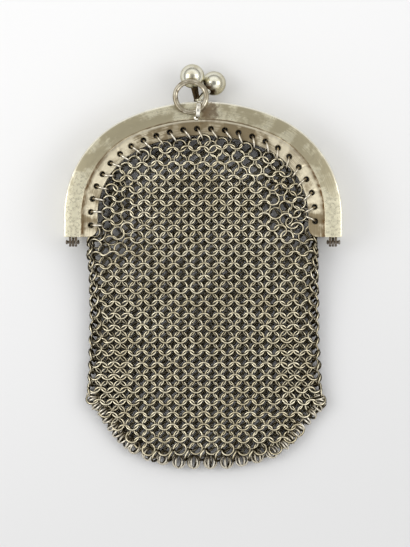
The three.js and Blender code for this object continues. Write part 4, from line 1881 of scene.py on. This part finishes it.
    def sheet(self, side: Side) -> list[RingPose]:
        """Lays out the rings of one sheet.

        Args:
            side: which sheet. The front one also takes the two side columns.

        Returns:
            The rings' poses.
        """
        last = self.side_column if side is Side.FRONT else self.side_column - 1
        poses = []
        for row in range(self.row_count + 1):
            low = self.top_row - row * self.row_pitch
            high = low + self.row_pitch / 2
            columns = [(float(c), high, Lean.TOP_OUT) for c in range(-last, last + 1)]
            if row < self.row_count:
                halves = [c + 0.5 for c in range(-self.side_column, self.side_column)]
                columns += [(c, low, Lean.BOTTOM_OUT) for c in halves]
            for column, y, lean in columns:
                at, height = self.slipped(column, y) if side is Side.BACK else (column, y)
                if self.fits(self.place(at, height, side), at):
                    poses.append(self.pose(at, height, side, lean))
        return poses


@dataclass
class RimWork:
    """The rings through the frame's holes, and the pull that they have on the sheet's edge."""

    layout: MeshLayout
    side: Side
    hook_reach: float = 3.95
    pull_share: float = 0.6
    pull_radius: float = 3.8
    stiffness: float = 0.35
    slant_places: tuple[float, ...] = (-1.0, -0.75, -0.35, 0.0, 0.22, 0.38, 0.6, 0.8, 1.0)
    slants: tuple[float, ...] = (25.0, 16.0, 23.0, 40.0, 42.0, 29.0, 14.0, 9.0, -16.0)

    def holes(self) -> list[tuple[Vector, Vector, float]]:
        """Lists the holes.

        Returns:
            Each hole's place, the way inwards, and its share of the way from left to right.
        """
        frame = self.layout.form.frame
        height = frame.height(frame.flange_middle, self.side)
        distances = frame.hole_distances()
        found = []
        for distance in distances:
            spot = frame.arch.spot(distance, frame.hole_inset)
            x, y = spot.point(frame.hole_inset)
            found.append((Vector((x, y, height)), spot.inward, distance / distances[-1]))
        return found

    def slant(self, share: float) -> float:
        """Angle between a rim ring and the way inwards, by its place along the arch."""
        return math.radians(float(np.interp(share, self.slant_places, self.slants)))

    def hooked(self, poses: list[RingPose]) -> tuple[list[RingPose], list[RingPose]]:
        """Pulls the sheet's edge to the rim, and adds the rim rings.

        Args:
            poses: the sheet's rings.

        Returns:
            The sheet's rings after the pull, and the rim rings.
        """
        holes = self.holes()
        free = set(range(len(poses)))
        pulls = []
        for place, inward, share in sorted(holes, key=lambda hole: abs(hole[2])):
            way = Matrix.Rotation(self.slant(share), 3, "Z") @ inward
            target = place + way * self.hook_reach
            best = min(free, key=lambda i: (poses[i].centre - target).xy.length)
            free.discard(best)
            near = poses[best].centre.lerp(target, self.pull_share)
            reach = (near - place).xy
            if reach.length > self.hook_reach:
                near = place + (near - place) * (self.hook_reach / reach.length)
            pulls.append((best, place, (near - poses[best].centre).xy))
        moved = [self.pulled(pose, poses, pulls) for pose in poses]
        rim = [self.rim_ring(place, moved[best]) for best, place, _ in pulls]
        return moved, rim

    def pulled(
        self, pose: RingPose, poses: list[RingPose], pulls: list[tuple[int, Vector, Vector]]
    ) -> RingPose:
        """Moves one ring with the pulls near it.

        Args:
            pose: the ring.
            poses: all rings before the pull.
            pulls: for each hooked ring its number, its hole, and how far it is pulled.

        Returns:
            The ring where it ends up.
        """
        total, weight = Vector((0.0, 0.0)), self.stiffness
        for index, _, pull in pulls:
            away = (pose.centre - poses[index].centre).xy.length
            share = math.exp(-((away / self.pull_radius) ** 2) * 2)
            total += pull * share
            weight += share
        shift = total / weight
        centre = pose.centre + Vector((shift.x, shift.y, 0.0))
        return RingPose(centre, pose.axis, pose.across, pose.outward)

    def rim_ring(self, hole: Vector, hooked: RingPose) -> RingPose:
        """Stands a ring in its hole and through the mesh ring that it holds.

        Args:
            hole: middle of the hole.
            hooked: the mesh ring.

        Returns:
            The rim ring.
        """
        radius = self.layout.ring_radius
        way = hooked.centre - hole
        way.normalize()
        across = way.cross(Z_AXIS).normalized()
        tilt = 0.3 * noise.noise(hole * 0.4)
        axis = Matrix.Rotation(tilt, 3, way) @ across
        outward = Z_AXIS if self.side is Side.FRONT else -Z_AXIS
        centre = hole + way * radius
        centre.z = max(centre.z, self.layout.resting_height(axis) + 0.05)
        return RingPose(centre, axis, way, outward)


@dataclass
class SeamWork:
    """The rings that close the bottom: small globes of rings under the columns, and bunches."""

    layout: MeshLayout
    fan: tuple[float, ...] = (-66.0, -24.0, 14.0, 52.0)
    bunch: tuple[float, ...] = (62.0, 100.0)
    globe_step: float = 4.15
    bunch_step: float = 2.15
    steep: float = 0.56
    globe_radius: float = 1.9
    globe_turn: float = 0.35
    globe_shift: float = 0.25

    def build(self) -> list[RingPose]:
        """Lays out all rings of the seam.

        Returns:
            Their poses.
        """
        points = self.layout.outline()
        spots = self.along(points)
        poses = []
        for number, (place, outward) in enumerate(spots):
            angles = self.bunch if abs(outward.x) > self.steep else self.fan
            poses += self.globe(place, outward, angles, number)
        return poses

    def along(self, points: Outline) -> list[tuple[Vector, Vector]]:
        """Spaces the globes evenly along the outline.

        Args:
            points: the outline.

        Returns:
            For each globe its place on the outline and the way out.
        """
        xs = np.array([p[0] for p in points])
        ys = np.array([p[1] for p in points])
        run = np.insert(np.cumsum(np.hypot(np.diff(xs), np.diff(ys))), 0, 0.0)
        spots = []
        at = self.bunch_step / 2
        while at < run[-1]:
            x, y = np.interp(at, run, xs), np.interp(at, run, ys)
            ahead, behind = at + self.bunch_step, at - self.bunch_step
            across = float(np.interp(ahead, run, xs) - np.interp(behind, run, xs))
            down = float(np.interp(ahead, run, ys) - np.interp(behind, run, ys))
            outward = Vector((down, -across, 0.0)).normalized()
            spots.append((Vector((x, y, 0.0)), outward))
            at += self.bunch_step if abs(outward.x) > self.steep else self.globe_step
        return spots

    def globe(
        self, place: Vector, outward: Vector, angles: Sequence[float], number: int
    ) -> list[RingPose]:
        """Fans a few rings about the way out of the bag.

        Args:
            place: the globe's outermost point.
            outward: the way out.
            angles: how far each ring is turned, in degrees.
            number: the globe's number, which varies it.

        Returns:
            The rings' poses.
        """
        form = self.layout.form
        centre = place - outward * self.globe_radius
        low, high = (form.height(centre.x, centre.y, side) for side in (Side.BACK, Side.FRONT))
        middle = max((low + high) / 2, self.globe_radius + 0.1)
        poses = []
        for i, angle in enumerate(angles):
            wobble = noise.noise_vector(Vector((number * 1.7, i * 2.3, 4.0)))
            turn = math.radians(angle) + self.globe_turn * wobble.x
            axis = Matrix.Rotation(turn, 3, outward) @ Z_AXIS
            shift = Vector((wobble.y, wobble.z, 0.0)) * self.globe_shift
            spot = Vector((centre.x, centre.y, middle)) + shift
            poses.append(RingPose(spot, axis, outward, Z_AXIS * 0.6 + outward * 0.8))
        return poses


class RingMaker:
    """Turns ring poses into wire rings with Geometry Nodes.

    Args:
        drawing: the change to the row frame.
        layout: gives the rings' sizes.
    """

    def __init__(self, drawing: Drawing, layout: MeshLayout) -> None:
        self.drawing = drawing
        self.layout = layout
        self.tree = bpy.data.node_groups.new("wire_rings", "GeometryNodeTree")
        self.sockets: dict[str, str] = {}
        self._interface()
        self._nodes()

    def _interface(self) -> None:
        """Adds the tree's named inputs and its output."""
        add = self.tree.interface.new_socket
        add("Geometry", in_out="INPUT", socket_type="NodeSocketGeometry")
        inputs = {
            "Ring Radius": ("NodeSocketFloat", 0.0015),
            "Wire Radius": ("NodeSocketFloat", 0.00025),
            "Ring Segments": ("NodeSocketInt", 16),
            "Wire Sides": ("NodeSocketInt", 6),
            "Turn": ("NodeSocketFloat", 0.08),
            "Seed": ("NodeSocketInt", 7),
            "Finish": ("NodeSocketMaterial", None),
        }
        for name, (kind, usual) in inputs.items():
            socket = add(name, in_out="INPUT", socket_type=kind)
            if usual is not None:
                socket.default_value = usual
            self.sockets[name] = socket.identifier
        add("Geometry", in_out="OUTPUT", socket_type="NodeSocketGeometry")

    def _nodes(self) -> None:
        """Adds the nodes: one wire ring, stood on every point, made real and marked."""
        tree = Tree(self.tree)
        start = tree.add("NodeGroupInput").outputs
        kind = "GeometryNodeInputNamedAttribute"
        axis, across, outward = (
            tree.add(kind, {"Name": name}, data_type="FLOAT_VECTOR").outputs[0]
            for name in (RING_AXIS, RING_ACROSS, RING_OUTWARD)
        )
        inputs = {"Resolution": start["Ring Segments"], "Radius": start["Ring Radius"]}
        ring = tree.add("GeometryNodeCurvePrimitiveCircle", inputs).outputs[0]
        inputs = {"Resolution": start["Wire Sides"], "Radius": start["Wire Radius"]}
        wire = tree.add("GeometryNodeCurvePrimitiveCircle", inputs).outputs[0]
        solid = tree.add("GeometryNodeCurveToMesh", {"Curve": ring, "Profile Curve": wire}).outputs[0]
        smooth = tree.add("GeometryNodeSetShadeSmooth", {0: solid}).outputs[0]
        inputs = {0: axis, 1: across}
        turn = tree.add("FunctionNodeAxesToRotation", inputs, primary_axis="Z", secondary_axis="X")
        least = tree.math("MULTIPLY", start["Turn"], -1.0)
        inputs = {0: least, 1: start["Turn"], "Seed": start["Seed"]}
        shake = tree.add("FunctionNodeRandomValue", inputs, data_type="FLOAT_VECTOR")
        shaken = tree.add("FunctionNodeEulerToRotation", {0: shake.outputs[0]})
        inputs = {0: turn.outputs[0], 1: shaken.outputs[0]}
        turned_more = tree.add("FunctionNodeRotateRotation", inputs, rotation_space="LOCAL").outputs[0]
        inputs = {"Points": start["Geometry"], "Instance": smooth, "Rotation": turned_more}
        stand = tree.add("GeometryNodeInstanceOnPoints", inputs).outputs[0]
        tone = tree.add("FunctionNodeRandomValue", {"Seed": start["Seed"]}, data_type="FLOAT").outputs[1]
        toned = self._stored(tree, stand, RING_TONE, tone, "INSTANCE")
        real = tree.add("GeometryNodeRealizeInstances", {0: toned}).outputs[0]
        inputs = {0: tree.add("GeometryNodeInputNormal").outputs[0], 1: outward}
        facing = tree.add("ShaderNodeVectorMath", inputs, operation="DOT_PRODUCT").outputs["Value"]
        marked = self._stored(tree, real, FACING_OUT, facing, "POINT")
        ended = tree.add("GeometryNodeSetMaterial", {0: marked, "Material": start["Finish"]})
        tree.add("NodeGroupOutput", {0: ended.outputs[0]})

    def _stored(self, tree: Tree, geometry: Socket, name: str, value: Socket, domain: str) -> Socket:
        """Writes a number to the instances or the points, and gives the geometry."""
        inputs = {"Geometry": geometry, "Name": name, "Value": value}
        kind = "GeometryNodeStoreNamedAttribute"
        return tree.add(kind, inputs, data_type="FLOAT", domain=domain).outputs[0]

    def make(
        self, name: str, poses: Sequence[RingPose], finish: Material, turn: float, seed: int
    ) -> Piece:
        """Makes one object of real rings.

        Args:
            name: the object's name.
            poses: where the rings lie, in drawing millimetres.
            finish: the rings' material.
            turn: how far each ring may be turned at random, in radians.
            seed: seed of the random turns.

        Returns:
            The object, with a plain mesh.
        """
        points = bpy.data.meshes.new(f"{name}_points")
        points.from_pydata([self.drawing.place(pose.centre) for pose in poses], [], [])
        ways = {RING_AXIS: "axis", RING_ACROSS: "across", RING_OUTWARD: "outward"}
        for attribute, way in ways.items():
            values = np.array([getattr(pose, way) for pose in poses], np.float32).ravel()
            points.attributes.new(attribute, "FLOAT_VECTOR", "POINT").data.foreach_set("vector", values)
        holder = placed(f"{name}_points", points)
        modifier = holder.modifiers.new("rings", "NODES")
        modifier.node_group = self.tree
        settings = {
            "Ring Radius": self.layout.ring_radius * MILLIMETRE,
            "Wire Radius": self.layout.wire_radius * MILLIMETRE,
            "Turn": turn,
            "Seed": seed,
            "Finish": finish,
        }
        for socket, value in settings.items():
            modifier[self.sockets[socket]] = value
        mesh = applied(holder)
        bpy.data.objects.remove(holder)
        bpy.data.meshes.remove(points)
        mesh.name = name
        for attribute in ways:
            found = mesh.attributes.get(attribute)
            if found is not None:
                mesh.attributes.remove(found)
        return placed(name, mesh)


@dataclass
class MeshBag:
    """The bag of ring mesh: two sheets, the rim rings of each, and the seam at the bottom."""

    workshop: Workshop
    layout: MeshLayout = field(default_factory=MeshLayout)
    sheet_turn: float = math.radians(4.5)
    rim_turn: float = math.radians(3.0)
    seam_turn: float = math.radians(6.0)

    def build(self) -> None:
        """Builds every part of the bag and hands it over."""
        maker = RingMaker(self.workshop.drawing, self.layout)
        finishes = self.workshop.finishes
        work = []
        for seed, side in enumerate(Side):
            sheet, rim = RimWork(self.layout, side).hooked(self.layout.sheet(side))
            work.append((f"{side.value}_mesh", sheet, finishes.mesh, self.sheet_turn, 11 + seed))
            work.append((f"{side.value}_rim_rings", rim, finishes.rim, self.rim_turn, 21 + seed))
        seam = SeamWork(self.layout).build()
        work.append(("seam_rings", seam, finishes.rim, self.seam_turn, 31))
        total = 0
        for name, poses, finish, turn, seed in work:
            piece = maker.make(name, poses, finish, turn, seed)
            self.workshop.hand_over(piece, "mesh_silver", ["mesh_bag"])
            total += len(poses)
        LOG.info("rings in the bag: %d", total)


@dataclass
class Studio:
    """The pale floor, the soft lights and the camera straight above the purse."""

    drawing: Drawing
    frame_depth: float
    picture_middle: tuple[float, float] = (0.5, -9.22)
    picture_height: float = 137.5
    camera_distance: float = 1400.0
    sensor: float = 36.0
    overhead: float = 0.32
    around: float = 1.17
    low: float = 0.43
    softbox_place: tuple[float, float, float] = (0.62, 0.08, 0.66)
    softbox_size: float = 0.46
    left_power: float = 1.6
    right_power: float = 1.15
    paper_painted_bright: float = 0.835
    paper_painted_dim: float = 0.67

    def camera(self) -> None:
        """Adds the camera, which looks straight down."""
        data = bpy.data.cameras.new("camera")
        data.sensor_width = self.sensor
        data.lens = self.sensor * self.camera_distance / self.picture_height
        data.clip_start, data.clip_end = 0.01, 20.0
        camera = placed("camera", data)
        high = self.frame_depth + self.camera_distance
        camera.location = self.drawing.place(Vector((*self.picture_middle, high)))
        bpy.context.scene.camera = camera

    def softbox(self, hand: Hand, power: float) -> None:
        """Adds a softbox that faces the purse.

        Args:
            hand: the side that it stands on.
            power: its power in watts.
        """
        name = f"{hand.name.lower()}_softbox"
        data = bpy.data.lights.new(name, "AREA")
        data.shape = "SQUARE"
        data.size = self.softbox_size
        data.energy = power
        light = placed(name, data)
        across, along, high = self.softbox_place
        light.location = (hand.value * across, along, high)
        light.rotation_euler = (-light.location).to_track_quat("-Z", "Y").to_euler()

    def world(self) -> None:
        """Sets the soft light of the room, which is darker overhead and near the floor."""
        world = bpy.data.worlds.new("room")
        world.use_nodes = True
        world.node_tree.nodes.clear()
        tree = Tree(world.node_tree)
        way = tree.add("ShaderNodeTexCoord").outputs["Generated"]
        height = tree.add("ShaderNodeSeparateXYZ", {0: way}).outputs[2]
        lower = tree.ramp(height, 0.15, 0.6, self.low, self.around)
        strength = tree.ramp(height, 0.87, 0.985, lower, self.overhead)
        glow = tree.add("ShaderNodeBackground", {0: opaque((1.0, 1.0, 1.0)), 1: strength})
        tree.add("ShaderNodeOutputWorld", {0: glow.outputs[0]})
        bpy.context.scene.world = world

    def floor(self) -> None:
        """Adds the pale table top, which isn't part of the purse. Its colour has a painted falloff of
        the light, brighter at the top left and dimmer at the bottom right.
        """
        made = bmesh.new()
        bmesh.ops.create_grid(made, x_segments=1, y_segments=1, size=1.5)
        mesh = bpy.data.meshes.new("table_top")
        made.to_mesh(mesh)
        made.free()
        material, tree = new_material("table_paper")
        place = tree.add("ShaderNodeTexCoord").outputs["Object"]
        spot = tree.add("ShaderNodeSeparateXYZ", {0: place}).outputs
        # Painted light falloff: the paper's colour fades from the top left to the bottom right.
        fall = tree.math("SUBTRACT", tree.math("MULTIPLY", spot[0], 0.38), spot[1])
        near, far = (self.paper_painted_bright,) * 3, (self.paper_painted_dim,) * 3
        painted_falloff = tree.blend(tree.ramp(fall, -0.1, 0.1), near, far)
        fibre = tree.noise(place, 900.0, 3.0)
        close_material(tree, painted_falloff, 0.8, fibre, 0.00001, metallic=0.0)
        mesh.materials.append(material)
        floor = placed("table_top", mesh)

    def build(self) -> None:
        """Builds the floor, the lights and the camera."""
        self.camera()
        self.floor()
        self.world()
        self.softbox(Hand.LEFT, self.left_power)
        self.softbox(Hand.RIGHT, self.right_power)
        bpy.context.scene.view_settings.view_transform = "Standard"


def corners(box: tuple[Vector, Vector]) -> list[list[float]]:
    """Turns a box into plain lists of numbers."""
    return [[float(value) for value in corner] for corner in box]


def main() -> None:
    """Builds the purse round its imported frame."""
    logging.basicConfig(level=logging.INFO, format="%(message)s")
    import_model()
    noise.seed_set(NOISE_SEED)
    sizes = FrameSizes()
    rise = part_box("front_frame")[1].y - sizes.arch.top * MILLIMETRE
    drawing = Drawing(rise)
    Studio(drawing, sizes.depth).build()
    workshop = Workshop(drawing, Finishes.made())
    for side in Side:
        FrameHalf(workshop, side, sizes).build()
        ClaspBall(workshop, side, sizes).build()
    for hand in Hand:
        HingePin(workshop, hand, sizes).build()
    CarryRing(workshop, sizes).build()
    MeshBag(workshop).build()


if __name__ == "__main__":
    main()
